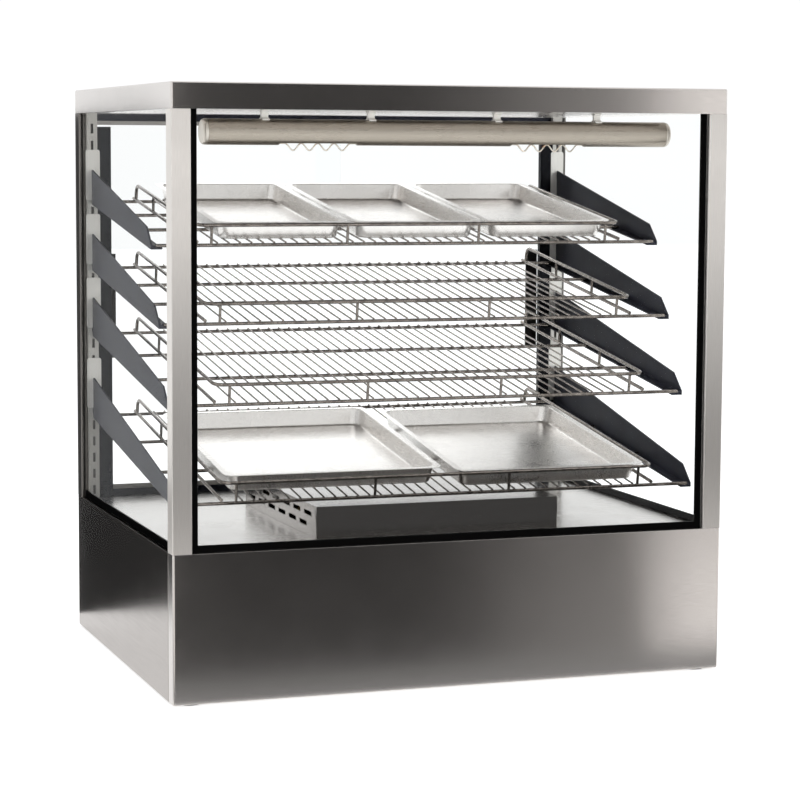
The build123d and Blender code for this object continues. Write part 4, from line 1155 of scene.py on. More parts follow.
@dataclass
class WireShelf(SubAssembly):
    """A welded wire shelf: rails and cross rods, floor wires, and a low bent fence.

    strut_end is how far a strut stops from the axis of a rail, as a share of the rail's thickness.
    """

    level: int
    slope: float = math.radians(8)
    rail: float = 5 * MM
    wire: float = 2.5 * MM
    strut: float = 4 * MM
    pitch: float = 16.5 * MM
    wires: int = 36
    bite: float = 0.2 * MM
    half_width: float = 374.25 * MM
    fence_half_width: float = 318 * MM
    fence_height: float = 28 * MM
    fence_bend: float = 14 * MM
    fence_rear_gap: float = 14 * MM
    strut_pitches: tuple[int, int] = (6, 18)
    strut_end: float = 0.4
    side_struts: int = 2
    cross_rods: int = 2
    bead: float = 1.7 * MM
    bead_shape: Point = (1.25, 1.0, 0.75)

    def build(self) -> None:
        """Builds the wires, the frame and the weld beads of the shelf."""
        node = f"shelf_{self.level}"
        low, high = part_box(node)
        where = self.where(low)
        length = self.rail_distance(low, high)
        name = node + "_floor_wires"
        sizes = {"Count": self.wires, "Pitch": self.pitch, "Length": length + self.rail / 2}
        sizes |= {"Radius": self.wire / 2, "Rise": self.rail / 2 + self.wire / 2 - self.bite}
        floor = ROWS.run(bpy.data.meshes.new("seed"), name, SHELF_SHADED_CHROME, **sizes)
        floor.transform(Matrix.Translation((0, -self.rail / 4, 0)))
        self.add(name, floor, where)
        name = node + "_frame"
        rails = WIRES.bend(self.rail_lines(length), name, SHELF_SHADED_CHROME, self.rail / 2, self.fence_bend)
        self.add(name, rails, where, [node])
        name = node + "_struts"
        struts = WIRES.bend(self.strut_lines(length), name, SHELF_SHADED_CHROME, self.strut / 2)
        self.add(name, struts, where)
        name = node + "_weld_beads"
        welds = COPIES.spread(self.beads(length), self.bead_mesh(), name, SHELF_SHADED_CHROME, math.pi)
        self.add(name, welds, where)

    def add(self, name: str, mesh: Mesh, where: Matrix, nodes: Sequence[str] = ()) -> None:
        """Places one piece of the shelf."""
        self.place(name, mesh, SHELF_SHADED_CHROME, f"wire_shelf_{self.level}", "shelf_wire", nodes, where)

    @property
    def rail_corner(self) -> float:
        """Distance from a rail's axis to the corners of its six-sided CAD form."""
        return self.rail / 2 / math.cos(math.pi / 6)

    def where(self, low: Vector) -> Matrix:
        """Place of the shelf: its front rail's axis, tilted by the slope.

        Args:
            low: Lowest corner of the CAD node.

        Returns:
            Matrix from the shelf's own axes to the frame's.
        """
        y = low.y + self.rail_corner
        z = low.z + self.rail / 2 * math.cos(self.slope)
        return Matrix.Translation((0, y, z)) @ Matrix.Rotation(self.slope, 4, "X")

    def rail_distance(self, low: Vector, high: Vector) -> float:
        """Distance from the front rail's axis to the rear rail's, along the slope."""
        return (high.y - low.y - 2 * self.rail_corner) / math.cos(self.slope)

    def rod_places(self, length: float) -> list[float]:
        """Distance of each rail and cross rod from the front rail, along the slope."""
        return [length * step / (self.cross_rods + 1) for step in range(self.cross_rods + 2)]

    def rail_lines(self, length: float) -> list[list[Point]]:
        """Lines of the rails, cross rods, side rails and the bent fence rail.

        Args:
            length: Distance between the rails, along the slope.

        Returns:
            The corner points of each line.
        """
        lines = [[(-self.half_width, y, 0), (self.half_width, y, 0)] for y in self.rod_places(length)]
        back = length - self.fence_rear_gap
        foot = self.rail * 1.5 - self.bite
        side = self.fence_half_width
        top = self.fence_height
        for x in (-side, side):
            lines.append([(x, -self.rail / 4, self.rail), (x, length + self.rail / 4, self.rail)])
        left = [(-side, back, foot), (-side, back, top), (-side, 0, top)]
        right = [(-x, y, z) for x, y, z in reversed(left)]
        return [*lines, left + right]

    def strut_lines(self, length: float) -> list[list[Point]]:
        """Lines of the struts between the rails and the fence.

        Args:
            length: Distance between the rails, along the slope.

        Returns:
            Foot and head of each strut.
        """
        lines = []
        stop = self.rail * self.strut_end
        top = self.fence_height - stop
        for sign in (-1, 1):
            for step in range(1, self.side_struts + 1):
                y = length * step / (self.side_struts + 1)
                x = sign * self.fence_half_width
                lines.append([(x, y, self.rail + stop), (x, y, top)])
            for pitches in self.strut_pitches:
                x = sign * pitches * self.pitch
                lines.append([(x, 0, stop), (x, 0, top)])
        return lines

    def beads(self, length: float) -> list[Point]:
        """Centres of the weld beads where floor wires cross the rods, and at the struts' ends.

        Args:
            length: Distance between the rails, along the slope.

        Returns:
            The centres.
        """
        places = [(number - (self.wires - 1) / 2) * self.pitch for number in range(self.wires)]
        crossings = [(x, y, self.rail / 2) for y in self.rod_places(length) for x in places]
        return crossings + [end for line in self.strut_lines(length) for end in line]

    def bead_mesh(self) -> Mesh:
        """Makes one small flattened weld bead.

        Returns:
            Its mesh.
        """
        work = bmesh.new()
        bmesh.ops.create_icosphere(work, subdivisions=1, radius=self.bead)
        bmesh.ops.scale(work, vec=self.bead_shape, verts=work.verts)
        return work_mesh(work, "bead")


@dataclass(frozen=True)
class TrayPlace:
    """A tray's middle across the shelf, its width over the rim and its gap behind the front rail."""

    middle: float
    width: float
    gap: float = 5 * MM


@dataclass
class ServingTrays(SubAssembly):
    """Shallow stainless trays that stand on the floor wires of one shelf."""

    shelf: WireShelf
    node: str
    places: tuple[TrayPlace, ...]
    rear_gap: float = 14.6 * MM
    seat: float = 5.32 * MM
    height: float = 25 * MM
    sheet: float = 1 * MM
    rim: float = 8 * MM
    lean: float = 4 * MM
    corner: float = 14 * MM
    steps: int = 8

    def build(self) -> None:
        """Builds every tray of the shelf as one piece."""
        depth = self.shelf.rail_distance(*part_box("shelf_1")) - self.rear_gap
        work = bmesh.new()
        for place in self.places:
            self.tray(work, place.middle, place.gap + depth / 2, place.width, depth)
        bmesh.ops.recalc_face_normals(work, faces=work.faces)
        where = self.shelf.where(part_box(f"shelf_{self.shelf.level}")[0])
        name = self.node + "_pressed"
        thing = temporary(work_mesh(work, name))
        thing.modifiers.new("normals", "WEIGHTED_NORMAL")
        body = f"wire_shelf_{self.shelf.level}"
        self.place(name, evaluated(thing, name), TRAY_STEEL, body, "tray_steel", [self.node], where)

    def tray(self, work: Work, x: float, y: float, width: float, depth: float) -> None:
        """Adds one tray: a stack of rounded rectangles from the underside over the rim to the floor.

        Args:
            work: Mesh that gets the tray.
            x: Middle of the tray across the shelf.
            y: Middle of the tray along the shelf.
            width: Its size over the rim, across the shelf.
            depth: Its size over the rim, along the shelf.
        """
        rings = []
        for inset, z in self.profile():
            outline = corner_rounded(width - 2 * inset, depth - 2 * inset, self.corner, self.steps)
            rings.append([work.verts.new((x + px, y + py, self.seat + z)) for px, py in outline])
        join_rings(work, rings)
        work.faces.new(rings[0][::-1])
        work.faces.new(rings[-1])

    def profile(self) -> list[Pair]:
        """Gives the rings of a tray's skin, from the underside over the rim to the floor.

        Returns:
            Inset from the rim's outer edge and height of each ring.
        """
        h, s, rim, foot = self.height, self.sheet, self.rim, self.rim + self.lean
        wall = s * self.lean / h
        outside = [(foot + 4 * s, 0), (foot + 1.6 * s, 0.1 * s), (foot + 0.3 * s, 0.8 * s)]
        outside += [(foot - 2.5 * wall, 2.5 * s)]
        under = [(rim + 2 * wall, h - 2 * s), (rim - 0.6 * s, h - 1.1 * s), (0.7 * s, h - s)]
        rolled = [(0.15 * s, h - 0.9 * s), (0, h - 0.5 * s), (0.15 * s, h - 0.1 * s), (0.7 * s, h)]
        over = [(rim, h), (rim + 0.8 * s, h - 0.3 * s), (rim + s + 1.2 * wall, h - 1.2 * s)]
        inside = [(foot + s - 3.5 * wall, 3.5 * s), (foot + 1.6 * s, 1.7 * s), (foot + 2.8 * s, 1.1 * s)]
        return outside + under + rolled + over + inside + [(foot + 5 * s, s)]


@dataclass
class Lamp(SubAssembly):
    """The long round heat lamp under the roof, with two windows facing down."""

    y: float = -0.227
    z: float = 0.761
    radius: float = 17.5 * MM
    wall: float = 1.2 * MM
    edge: float = 0.25 * MM
    half_length: float = 0.334
    cap: float = 8 * MM
    cap_rim: float = 1.2 * MM
    cap_round: float = 3.5 * MM
    cap_bite: float = 0.5 * MM
    shift: float = -10.5 * MM
    window_spread: float = 0.1675
    window_length: float = 0.112
    window_half_width: float = 9 * MM
    window_steps: int = 12
    round_steps: int = 44
    clip_spreads: Pair = (0.092, 0.2425)
    clip_sheet: float = 2.0 * MM
    clip_stem: float = 2.6 * MM
    clip_foot: float = 7 * MM
    clip_half_length: float = 5 * MM
    clip_arc: float = math.radians(30)
    ceiling: float = 0.790
    tube: float = 4 * MM
    tube_length: float = 0.102
    pinch: float = 6 * MM
    coil: float = 1.3 * MM
    coil_wire: float = 0.25 * MM
    coil_turns: int = 40
    coil_steps: int = 8
    coil_share: float = 0.82
    guard_wire: float = 1 * MM
    guard_seat: float = 0.3 * MM
    guard_waves: int = 4
    guard_pitch: float = 23.2 * MM
    guard_rise: float = 9.5 * MM
    guard_steps: int = 14
    guard_rest: float = 4 * MM

    def build(self) -> None:
        """Builds the lamp's pieces."""
        self.housing()
        self.caps()
        self.clips()
        self.tubes()
        self.soften("lamp_holders", HOLDER_CERAMIC, "ceramic", 0.5 * MM)
        self.guards()

    def window_places(self) -> list[float]:
        """X of the middle of each window, left one first."""
        return [self.shift + side.value * self.window_spread for side in Side]

    def housing(self) -> None:
        """The tube, open at its two windows, with a wall and soft edges."""
        opening = math.asin(self.window_half_width / self.radius)
        steps = self.window_steps
        angles = [-opening + 2 * opening * i / steps for i in range(steps + 1)]
        rest = (2 * math.pi - 2 * opening) / self.round_steps
        angles += [opening + rest * i for i in range(1, self.round_steps)]
        half = self.window_length / 2
        ends = {-self.half_length, self.half_length}
        stations = sorted(ends | {x + way * half for x in self.window_places() for way in (-1, 1)})
        work = bmesh.new()
        grid = []
        for x in stations:
            round_axis = [(self.radius * math.sin(a), self.radius * math.cos(a)) for a in angles]
            grid.append([work.verts.new((x, self.y + across, self.z - drop)) for across, drop in round_axis])
        for low, high, left, right in zip(stations, stations[1:], grid, grid[1:]):
            if any(abs((low + high) / 2 - x) < half for x in self.window_places()):
                join_rings(work, [left[steps:] + left[:1], right[steps:] + right[:1]], around=False)
            else:
                join_rings(work, [left, right])
        bmesh.ops.recalc_face_normals(work, faces=work.faces)
        face = next(iter(work.faces))
        if face.normal.dot(face.calc_center_median() - Vector((0, self.y, self.z))) < 0:
            bmesh.ops.reverse_faces(work, faces=work.faces)
        mesh = rounded(thickened(work_mesh(work, "lamp_body"), self.wall), self.edge)
        self.place("lamp_body", mesh, LAMP_ALUMINIUM, "cabinet", "lamp_metal", ["lamp_housing"])

    def caps(self) -> None:
        """Domed caps with a small rim, pressed on both ends."""
        r, c, rim, bite = self.radius, self.cap, self.cap_rim, self.cap_bite
        dome = [(0, -bite), (r - 2 * self.wall, -bite), (r - self.wall, 0), (r, 0), (r, rim)]
        for step in range(1, 9):
            angle = QUARTER * step / 8
            reach = r - self.cap_round + self.cap_round * math.cos(angle)
            dome.append((reach, rim + (c - 2 * rim) * math.sin(angle)))
        dome += [(r * 0.6, c - 0.6 * MM), (r * 0.3, c - 0.1 * MM), (0, c)]
        for side in Side:
            turn = Matrix.Rotation(side.value * QUARTER, 4, "Y")
            where = Matrix.Translation((side.value * self.half_length, self.y, self.z)) @ turn
            name = f"lamp_cap_{side.name.lower()}"
            mesh = work_mesh(lathe(dome, 56), name)
            self.place(name, mesh, CAP_ALUMINIUM, "cabinet", "lamp_metal", ["lamp_end_caps"], where)

    def clips(self) -> None:
        """White clips that hug the tube and reach up to the ceiling."""
        r = self.radius + 0.1 * MM
        skin = r + self.clip_sheet
        stem, foot, arc = self.clip_stem, self.clip_foot, self.clip_arc
        top = self.ceiling - self.z
        bends = [arc - arc * i / 8 for i in range(8)]
        outer = [(skin * math.sin(a), skin * math.cos(a)) for a in bends if skin * math.sin(a) > stem]
        right = [*outer, (stem, skin + 0.2 * MM), (stem, top - 3 * MM), (foot, top - 2 * MM), (foot, top)]
        left = [(-x, z) for x, z in reversed(right)]
        inner = [(r * math.sin(a), r * math.cos(a)) for a in (-arc + 2 * arc * i / 16 for i in range(17))]
        work = extruded(right + left + inner, -self.clip_half_length, self.clip_half_length)
        clip = rounded(work_mesh(work, "clip"), 0.5 * MM, 3)
        clip.transform(Matrix(((0, 0, 1, 0), (1, 0, 0, 0), (0, 1, 0, 0), (0, 0, 0, 1))))
        points = [(self.shift + side.value * x, self.y, self.z) for x in self.clip_spreads for side in Side]
        made = COPIES.spread(points, clip, "lamp_clips", HANGER_NYLON)
        self.place("lamp_clips", made, HANGER_NYLON, "cabinet", "hanger_white", ["lamp_hangers"])

    def tubes(self) -> None:
        """Quartz tubes with pinched ends, each round a coiled filament."""
        half, t, end = self.tube_length / 2, self.tube, self.tube_length / 2 + self.pinch
        skin = [(0, -end), (t * 0.5, -end), (t * 0.5, -half)]
        skin += [(t * 0.8, -half + 1.5 * MM), (t, -half + 4 * MM)]
        skin += [(radius, -height) for radius, height in reversed(skin)]
        coil = []
        steps = self.coil_turns * self.coil_steps
        for step in range(steps + 1):
            angle = 2 * math.pi * step / self.coil_steps
            height = half * self.coil_share * (2 * step / steps - 1)
            coil.append((self.coil * math.cos(angle), self.coil * math.sin(angle), height))
        for side, x in zip(Side, self.window_places()):
            where = Matrix.Translation((x, self.y, self.z)) @ Matrix.Rotation(QUARTER, 4, "Y")
            name = f"quartz_tube_{side.name.lower()}"
            mesh = work_mesh(lathe(skin, 24), name)
            tube = self.place(name, mesh, QUARTZ, "cabinet", "quartz", ["halogen_tubes"], where)
            tube.visible_shadow = False
            name = f"filament_{side.name.lower()}"
            mesh = WIRES.bend([coil], name, TUNGSTEN, self.coil_wire, sides=5)
            self.place(name, mesh, TUNGSTEN, "cabinet", "quartz", (), where)

    def guards(self) -> None:
        """A wire bent in waves below each window, its ends resting inside the lamp body."""
        top = self.z - self.radius + self.wall + self.guard_seat + self.guard_wire
        half = self.guard_waves * self.guard_pitch / 2
        rest = self.window_length / 2 + self.guard_rest
        lines = []
        for middle in self.window_places():
            line = [(middle - rest, self.y, top)]
            for step in range(self.guard_waves * self.guard_steps + 1):
                turns = step / self.guard_steps
                sag = self.guard_rise * (1 - math.cos(2 * math.pi * turns)) / 2
                line.append((middle - half + turns * self.guard_pitch, self.y, top - sag))
            lines.append([*line, (middle + rest, self.y, top)])
        mesh = WIRES.bend(lines, "lamp_guard_waves", GUARD_CHROME, self.guard_wire, sides=10)
        self.place("lamp_guard_waves", mesh, GUARD_CHROME, "cabinet", "guard_wire", ["lamp_guards"])


@dataclass
class Heater(SubAssembly):
    """The slotted cover on the deck, the sheathed element and the fan below."""

    cover_edge: float = 0.35 * MM
    half_width: float = 0.120
    pitch: float = 0.060
    middle_y: float = -0.049
    lift: float = 0.223
    tail: float = 0.175
    diameter: float = 8 * MM
    bend: float = 14 * MM

    def build(self) -> None:
        """Builds the cover and the element and dresses the fan."""
        self.soften("heater_cover", COVER_STEEL, "deck_steel", self.cover_edge)
        self.element()
        self.dress("fan_frame", FAN_NYLON)
        self.dress("fan_motor", MOTOR_STEEL)
        self.dress("fan_rotor", FAN_NYLON)

    def element(self) -> None:
        """The sheathed element, bent to four runs, with both tails down through the deck."""
        low, high, inner = -self.half_width, self.half_width, -self.half_width + self.pitch
        first, last = self.middle_y - 1.5 * self.pitch, self.middle_y + 1.5 * self.pitch
        second, third = first + self.pitch, last - self.pitch
        runs = [(low, first), (high, first), (high, second), (inner, second)]
        runs += [(inner, third), (high, third), (high, last), (low, last)]
        bends = [(x, y, self.lift) for x, y in runs]
        line = [(low, first, self.tail), *bends, (low, last, self.tail)]
        mesh = WIRES.bend([line], "sheathed_element", ELEMENT_SHEATH, self.diameter / 2, self.bend, 16)
        self.place("sheathed_element", mesh, ELEMENT_SHEATH, "cabinet", "element_metal", ["heating_element"])


@dataclass
class Controls(SubAssembly):
    """Recessed controls at the rear: thermostat, two rocker switches, pilot lamp and cord gland."""

    face_y: float = 263.2 * MM
    z: float = 0.110
    knob_x: float = 0.306
    knob_radius: float = 22 * MM
    knob_depth: float = 20 * MM
    knob_gap: float = 1 * MM
    knob_start: float = math.radians(45)
    knob_travel: int = 270
    spindle_radius: float = 2.9 * MM
    spindle_low: float = -13 * MM
    spindle_high: float = 0.3 * MM
    pointer_half_width: float = 0.9 * MM
    ticks: int = 10
    tick_low: float = 24.2 * MM
    tick_high: float = 26.4 * MM
    tick_half_width: float = 0.3 * MM
    tick_relief: float = 0.12 * MM
    ink: float = 0.05 * MM
    number_steps: int = 5
    number_reach: float = 30.5 * MM
    number_size: float = 5.2 * MM
    number_relief: float = 0.06 * MM
    pilot_x: float = 0.265
    pilot_z: float = 0.140
    pilot_rim: float = 8 * MM
    pilot_edge: float = 0.9 * MM
    pilot_crown: float = 1.1 * MM
    pilot_neck: float = 5.7 * MM
    pilot_bite: float = 3 * MM
    pilot_gap: float = 0.2 * MM
    pilot_radius: float = 5.4 * MM
    pilot_depth: float = 12 * MM
    gland_x: float = 0.156
    gland_z: float = 0.090
    gland_bore: float = 4.5 * MM
    gland_flat: float = 13.5 * MM
    gland_hexagon: float = 6 * MM
    threads: int = 8
    thread_pitch: float = 1.5 * MM
    thread_crest: float = 9.7 * MM
    thread_root: float = 9.0 * MM
    thread_end: float = -13.2 * MM
    thread_start: float = -12.4 * MM
    thread_nose: float = 9.3 * MM

    def build(self) -> None:
        """Builds all controls."""
        self.soften("control_panel", CONTROL_STEEL, "control_steel", 0.3 * MM)
        self.dress("thermostat_body", THERMOSTAT_RESIN)
        self.soften("terminal_block", TERMINAL_NYLON, "terminal_white", 0.4 * MM)
        self.soften("switch_bodies", SWITCH_NYLON, "switch_black", 0.4 * MM)
        self.soften("power_rocker", ROCKER_GREEN, "rocker_green", 0.5 * MM)
        self.soften("lamp_rocker", SWITCH_NYLON, "rocker_black", 0.5 * MM)
        self.knob()
        self.dial_ticks()
        self.dial_numbers()
        self.pilot()
        self.gland()

    def outward(self, x: float, y: float, z: float) -> Matrix:
        """Place of a turned piece whose axis points out of the rear face."""
        return Matrix.Translation((x, y, z)) @ Matrix.Rotation(-QUARTER, 4, "X")

    def knob(self) -> None:
        """The fluted knob, its spindle and a raised pointer."""
        r, d = self.knob_radius, self.knob_depth
        side = [(0, 0), (r * 0.9, 0), (r, 0.8 * MM), (r, 3 * MM), (r * 0.9, 4 * MM), (r * 0.88, 5.5 * MM)]
        side += [(r * 0.86, d - 2.5 * MM), (r * 0.83, d - 1 * MM), (r * 0.76, d - 0.1 * MM)]
        side += [(r * 0.5, d), (0, d)]
        where = self.outward(self.knob_x, self.face_y + self.knob_gap, self.z)
        mesh = work_mesh(lathe(side, 144, Fluting(18, 0.07, (5, 6, 7))), "knob")
        self.place("fluted_knob", mesh, KNOB_ABS, "thermostat_dial", "knob_black", ["thermostat_knob"], where)
        s, low, high = self.spindle_radius, self.spindle_low, self.spindle_high
        mesh = work_mesh(lathe([(0, low), (s, low), (s, high), (0, high)], 24), "spindle")
        self.place("knob_spindle", mesh, SCREW_STEEL, "thermostat_dial", "knob_black", (), where)
        w, low, high = self.pointer_half_width, r * 0.12, r * 0.85
        bar = [(-w, low), (w, low), (w, high), (0, high + 1.2 * MM), (-w, high)]
        pointer = rounded(work_mesh(extruded(bar, d - 1.5 * MM, d + 0.5 * MM), "pointer"), 0.3 * MM)
        start = where @ Matrix.Rotation(self.knob_start, 4, "Z")
        self.place("knob_pointer", pointer, MARK_INK, "thermostat_dial", "knob_black", (), start)

    def dial_ticks(self) -> None:
        """Ticks printed round the knob, each named by its angle in degrees."""
        low, high, half = self.tick_low, self.tick_high, self.tick_half_width
        outline = [(-half, low), (half, low), (half, high), (-half, high)]
        for step in range(self.ticks + 1):
            angle = self.knob_travel * step // self.ticks
            turn = Matrix.Rotation(self.knob_start + math.radians(angle), 4, "Z")
            where = self.outward(self.knob_x, self.face_y, self.z) @ turn
            name = f"dial_tick_{angle}"
            mesh = rounded(work_mesh(extruded(outline, -self.ink, self.tick_relief), name), self.ink)
            self.place(name, mesh, DARK_INK, "cabinet", "control_steel", (), where)

    def dial_numbers(self) -> None:
        """Plain numbers from 0 to 100 at every second tick."""
        facing = Matrix(((-1, 0, 0, 0), (0, 0, 1, 0), (0, 1, 0, 0), (0, 0, 0, 1)))
        for step in range(self.number_steps + 1):
            number = str(100 * step // self.number_steps)
            name = "dial_number_" + number
            text = bpy.data.curves.new("number", "FONT")
            text.body = number
            text.size = self.number_size
            text.align_x = "CENTER"
            text.align_y = "CENTER"
            text.extrude = self.number_relief
            mesh = evaluated(temporary(text), name)
            swing = self.knob_start + math.radians(self.knob_travel * step / self.number_steps)
            x = self.knob_x - self.number_reach * math.sin(swing)
            z = self.z - self.number_reach * math.cos(swing)
            where = Matrix.Translation((x, self.face_y + self.ink, z)) @ facing
            self.place(name, mesh, DARK_INK, "cabinet", "control_steel", (), where)

    def pilot(self) -> None:
        """The signal lamp: a dark body behind a domed amber lens."""
        rim, edge, neck, low = self.pilot_rim, self.pilot_edge, self.pilot_neck, -self.pilot_bite
        lens = [(0, low), (neck, low), (neck, 0), (rim, 0), (rim, edge)]
        for step in range(1, 6):
            angle = QUARTER * step / 6
            lens.append((rim * math.cos(angle), edge + self.pilot_crown * math.sin(angle)))
        lens.append((0, edge + self.pilot_crown))
        where = self.outward(self.pilot_x, self.face_y, self.pilot_z)
        mesh = work_mesh(lathe(lens, 40), "lens")
        self.place("pilot_lens", mesh, PILOT_LENS, "cabinet", "pilot_amber", ["pilot_lamp"], where)
        low, high, radius = -self.pilot_depth, -self.pilot_bite - self.pilot_gap, self.pilot_radius
        mesh = work_mesh(lathe([(0, low), (radius, low), (radius, high), (0, high)], 32), "body")
        self.place("pilot_body", mesh, SWITCH_NYLON, "cabinet", "pilot_amber", (), where)

    def gland(self) -> None:
        """The cable gland: thread, hexagon and a ribbed dome nut round an open bore."""
        bore, high = self.gland_bore, self.gland_hexagon + 0.05 * MM
        crest, root, end = self.thread_crest, self.thread_root, self.thread_end
        where = self.outward(self.gland_x, self.face_y, self.gland_z)
        thread = [(bore, end), (self.thread_nose, end)]
        for step in range(self.threads):
            z = self.thread_start + step * self.thread_pitch
            thread += [(crest, z), (crest, z + 0.5 * MM), (root, z + 0.75 * MM), (root, z + 1.2 * MM)]
        thread += [(crest, 0), (bore, 0), (bore, end)]
        mesh = work_mesh(lathe(thread, 40), "thread")
        self.place("gland_thread", mesh, GLAND_NYLON, "cabinet", "gland_black", (), where)
        corner = self.gland_flat / math.cos(math.pi / 6)
        outline = [(corner * math.cos(math.pi / 3 * i), corner * math.sin(math.pi / 3 * i)) for i in range(6)]
        nut = work_mesh(extruded(outline, 0.05 * MM, self.gland_hexagon), "hexagon")
        tool = work_mesh(lathe([(0, -1 * MM), (bore, -1 * MM), (bore, 8 * MM), (0, 8 * MM)], 40), "bore")
        mesh = rounded(cut_out(nut, tool), 0.5 * MM)
        self.place("gland_hexagon", mesh, GLAND_NYLON, "cabinet", "gland_black", ["cord_gland"], where)
        dome = [(bore, high), (11.5 * MM, high), (11.9 * MM, 6.6 * MM), (11.7 * MM, 9 * MM)]
        dome += [(11.0 * MM, 13 * MM), (9.8 * MM, 17 * MM), (8.6 * MM, 19.4 * MM), (7.2 * MM, 20.6 * MM)]
        dome += [(bore + 0.8 * MM, 20.9 * MM), (bore, 20.2 * MM), (bore, high)]
        mesh = work_mesh(lathe(dome, 144, Fluting(18, 0.09, (3, 4, 5))), "dome")
        self.place("gland_dome_nut", mesh, GLAND_NYLON, "cabinet", "gland_black", (), where)


# Studio


@dataclass
class Studio:
    """Floor, lamps, white surroundings and the camera of the photograph.

    The stops have a place and the brightness there. mirror_stops run across the studio, by the slope
    at which the counter's front mirrors a place to the camera; tall_stops rise behind the camera and
    floor_stops run over the floor towards the counter.
    """

    position: Point = (-1.1756, -3.4167, 0.7411)
    yaw: float = 19.307
    pitch: float = -5.865
    roll: float = 0.304
    lens: float = 110.59
    sensor: float = 36.0
    sight: float = 60.0
    floor_size: float = 14.0
    surround: float = 0.62
    background: float = 1.03
    floor_glow: float = 0.62
    side_tone: float = 0.03
    # Brightness of the dark card before the heater cover, which paints shade into its reflection
    cover_shade_tone: float = 0.09
    near_tone: float = 0.34
    lamp_aim: Point = (0, 0, 0.4)
    mirror_stops: tuple[Pair, ...] = (
        (0.232, 1.0), (0.242, 0.05), (0.355, 0.05), (0.386, 0.09), (0.405, 0.15), (0.424, 0.19),
        (0.457, 0.24), (0.464, 0.30), (0.474, 0.62), (0.482, 0.80), (0.497, 1.0),
    )
    tall_stops: tuple[Pair, ...] = (
        (0.0, 0.38), (0.14, 0.48), (0.29, 0.72), (0.44, 1.2),
        (0.59, 1.8), (0.7, 2.2), (0.82, 2.2), (0.9, 0.82),
    )
    floor_stops: tuple[Pair, ...] = (
        (-4.2, 0.38), (-3.02, 0.28), (-2.18, 0.2), (-1.78, 0.15), (-1.6, 0.15), (-1.5, 1.3),
    )

    def build(self) -> None:
        """Sets up everything round the counter."""
        self.camera()
        self.world()
        self.floor()
        self.lamps()
        self.flags()
        bpy.context.scene.view_settings.view_transform = "Standard"

    def camera(self) -> None:
        """Puts the camera where the photograph was taken from."""
        yaw, pitch, roll = (math.radians(a) for a in (self.yaw, self.pitch, self.roll))
        ahead = Vector((math.sin(yaw) * math.cos(pitch), math.cos(yaw) * math.cos(pitch), math.sin(pitch)))
        level = Vector((math.cos(yaw), -math.sin(yaw), 0))
        upright = level.cross(ahead)
        right = level * math.cos(roll) + upright * math.sin(roll)
        up = upright * math.cos(roll) - level * math.sin(roll)
        data = bpy.data.cameras.new("camera")
        data.lens = self.lens
        data.sensor_width = self.sensor
        data.clip_end = self.sight
        thing = bpy.data.objects.new("camera", data)
        bpy.context.scene.collection.objects.link(thing)
        turn = Matrix((right, up, -ahead)).transposed().to_4x4()
        thing.matrix_world = Matrix.Translation(self.position) @ turn
        bpy.context.scene.camera = thing

    def seen(self, tree: Tree, low: float, high: float) -> Socket:
        """Gives a strength that differs for rays that see the background: camera, mirror and glass rays.

        Args:
            tree: Node tree of the background.
            low: Strength for all other rays.
            high: Strength for the rays that see it.

        Returns:
            The strength.
        """
        path = add_node(tree, "ShaderNodeLightPath").outputs
        share = path["Is Camera Ray"]
        for ray in ("Is Glossy Ray", "Is Transmission Ray"):
            share = add_node(tree, "ShaderNodeMath", {0: share, 1: path[ray]}, operation="MAXIMUM").outputs[0]
        limits = {"Value": share, "To Min": low, "To Max": high}
        return add_node(tree, "ShaderNodeMapRange", limits).outputs["Result"]

    def world(self) -> None:
        """White surroundings that light the counter a little less than they show."""
        world = bpy.data.worlds.new("white_surroundings")
        bpy.context.scene.world = world
        world.use_nodes = True
        tree = world.node_tree
        tree.nodes.clear()
        white = {"Color": (1, 1, 1, 1), "Strength": self.seen(tree, self.surround, self.background)}
        shade = add_node(tree, "ShaderNodeBackground", white)
        add_node(tree, "ShaderNodeOutputWorld", {"Surface": shade.outputs["Background"]})

    def card(self, name: str, low: Point, high: Point, material: Material) -> Thing:
        """A flat rectangle of the studio, square to Y or Z.

        Args:
            name: Name of the card.
            low: One corner.
            high: The corner opposite.
            material: Its material.

        Returns:
            The card.
        """
        (x1, y1, z1), (x2, y2, z2) = low, high
        mesh = bpy.data.meshes.new(name)
        mesh.from_pydata([low, (x2, y1, z1), high, (x1, y2, z2)], [], [(0, 1, 2, 3)])
        mesh.materials.append(material)
        thing = bpy.data.objects.new(name, mesh)
        bpy.context.scene.collection.objects.link(thing)
        return thing

    def floor(self) -> None:
        """A white floor that keeps a faint shadow of the counter."""
        material, tree = empty_material("white_floor")
        matt = add_node(tree, "ShaderNodeBsdfDiffuse", {"Color": linear("#f0f0f0")})
        white = {"Color": (1, 1, 1, 1), "Strength": self.seen(tree, 0.0, self.floor_glow)}
        glow = add_node(tree, "ShaderNodeEmission", white)
        both = add_node(tree, "ShaderNodeAddShader", {0: matt.outputs[0], 1: glow.outputs[0]})
        add_node(tree, "ShaderNodeOutputMaterial", {"Surface": both.outputs[0]})
        size = self.floor_size
        self.card("floor", (-size, -size, 0), (size, size, 0), material)

    def lamps(self) -> None:
        """Three soft boxes: front left, front right and behind the counter."""
        for name, at, size, power in (
            ("key", (-1.7, -2.6, 2.6), 2.2, 26.0),
            ("fill", (2.6, -2.0, 2.2), 2.4, 16.0),
            ("back", (0.3, 2.8, 2.6), 2.2, 14.0),
        ):
            data = bpy.data.lights.new(name, "AREA")
            data.shape = "SQUARE"
            data.size = size
            data.energy = power
            thing = bpy.data.objects.new(name, data)
            bpy.context.scene.collection.objects.link(thing)
            thing.location = at
            thing.rotation_euler = (Vector(self.lamp_aim) - Vector(at)).to_track_quat("-Z", "Y").to_euler()
            thing.visible_glossy = False

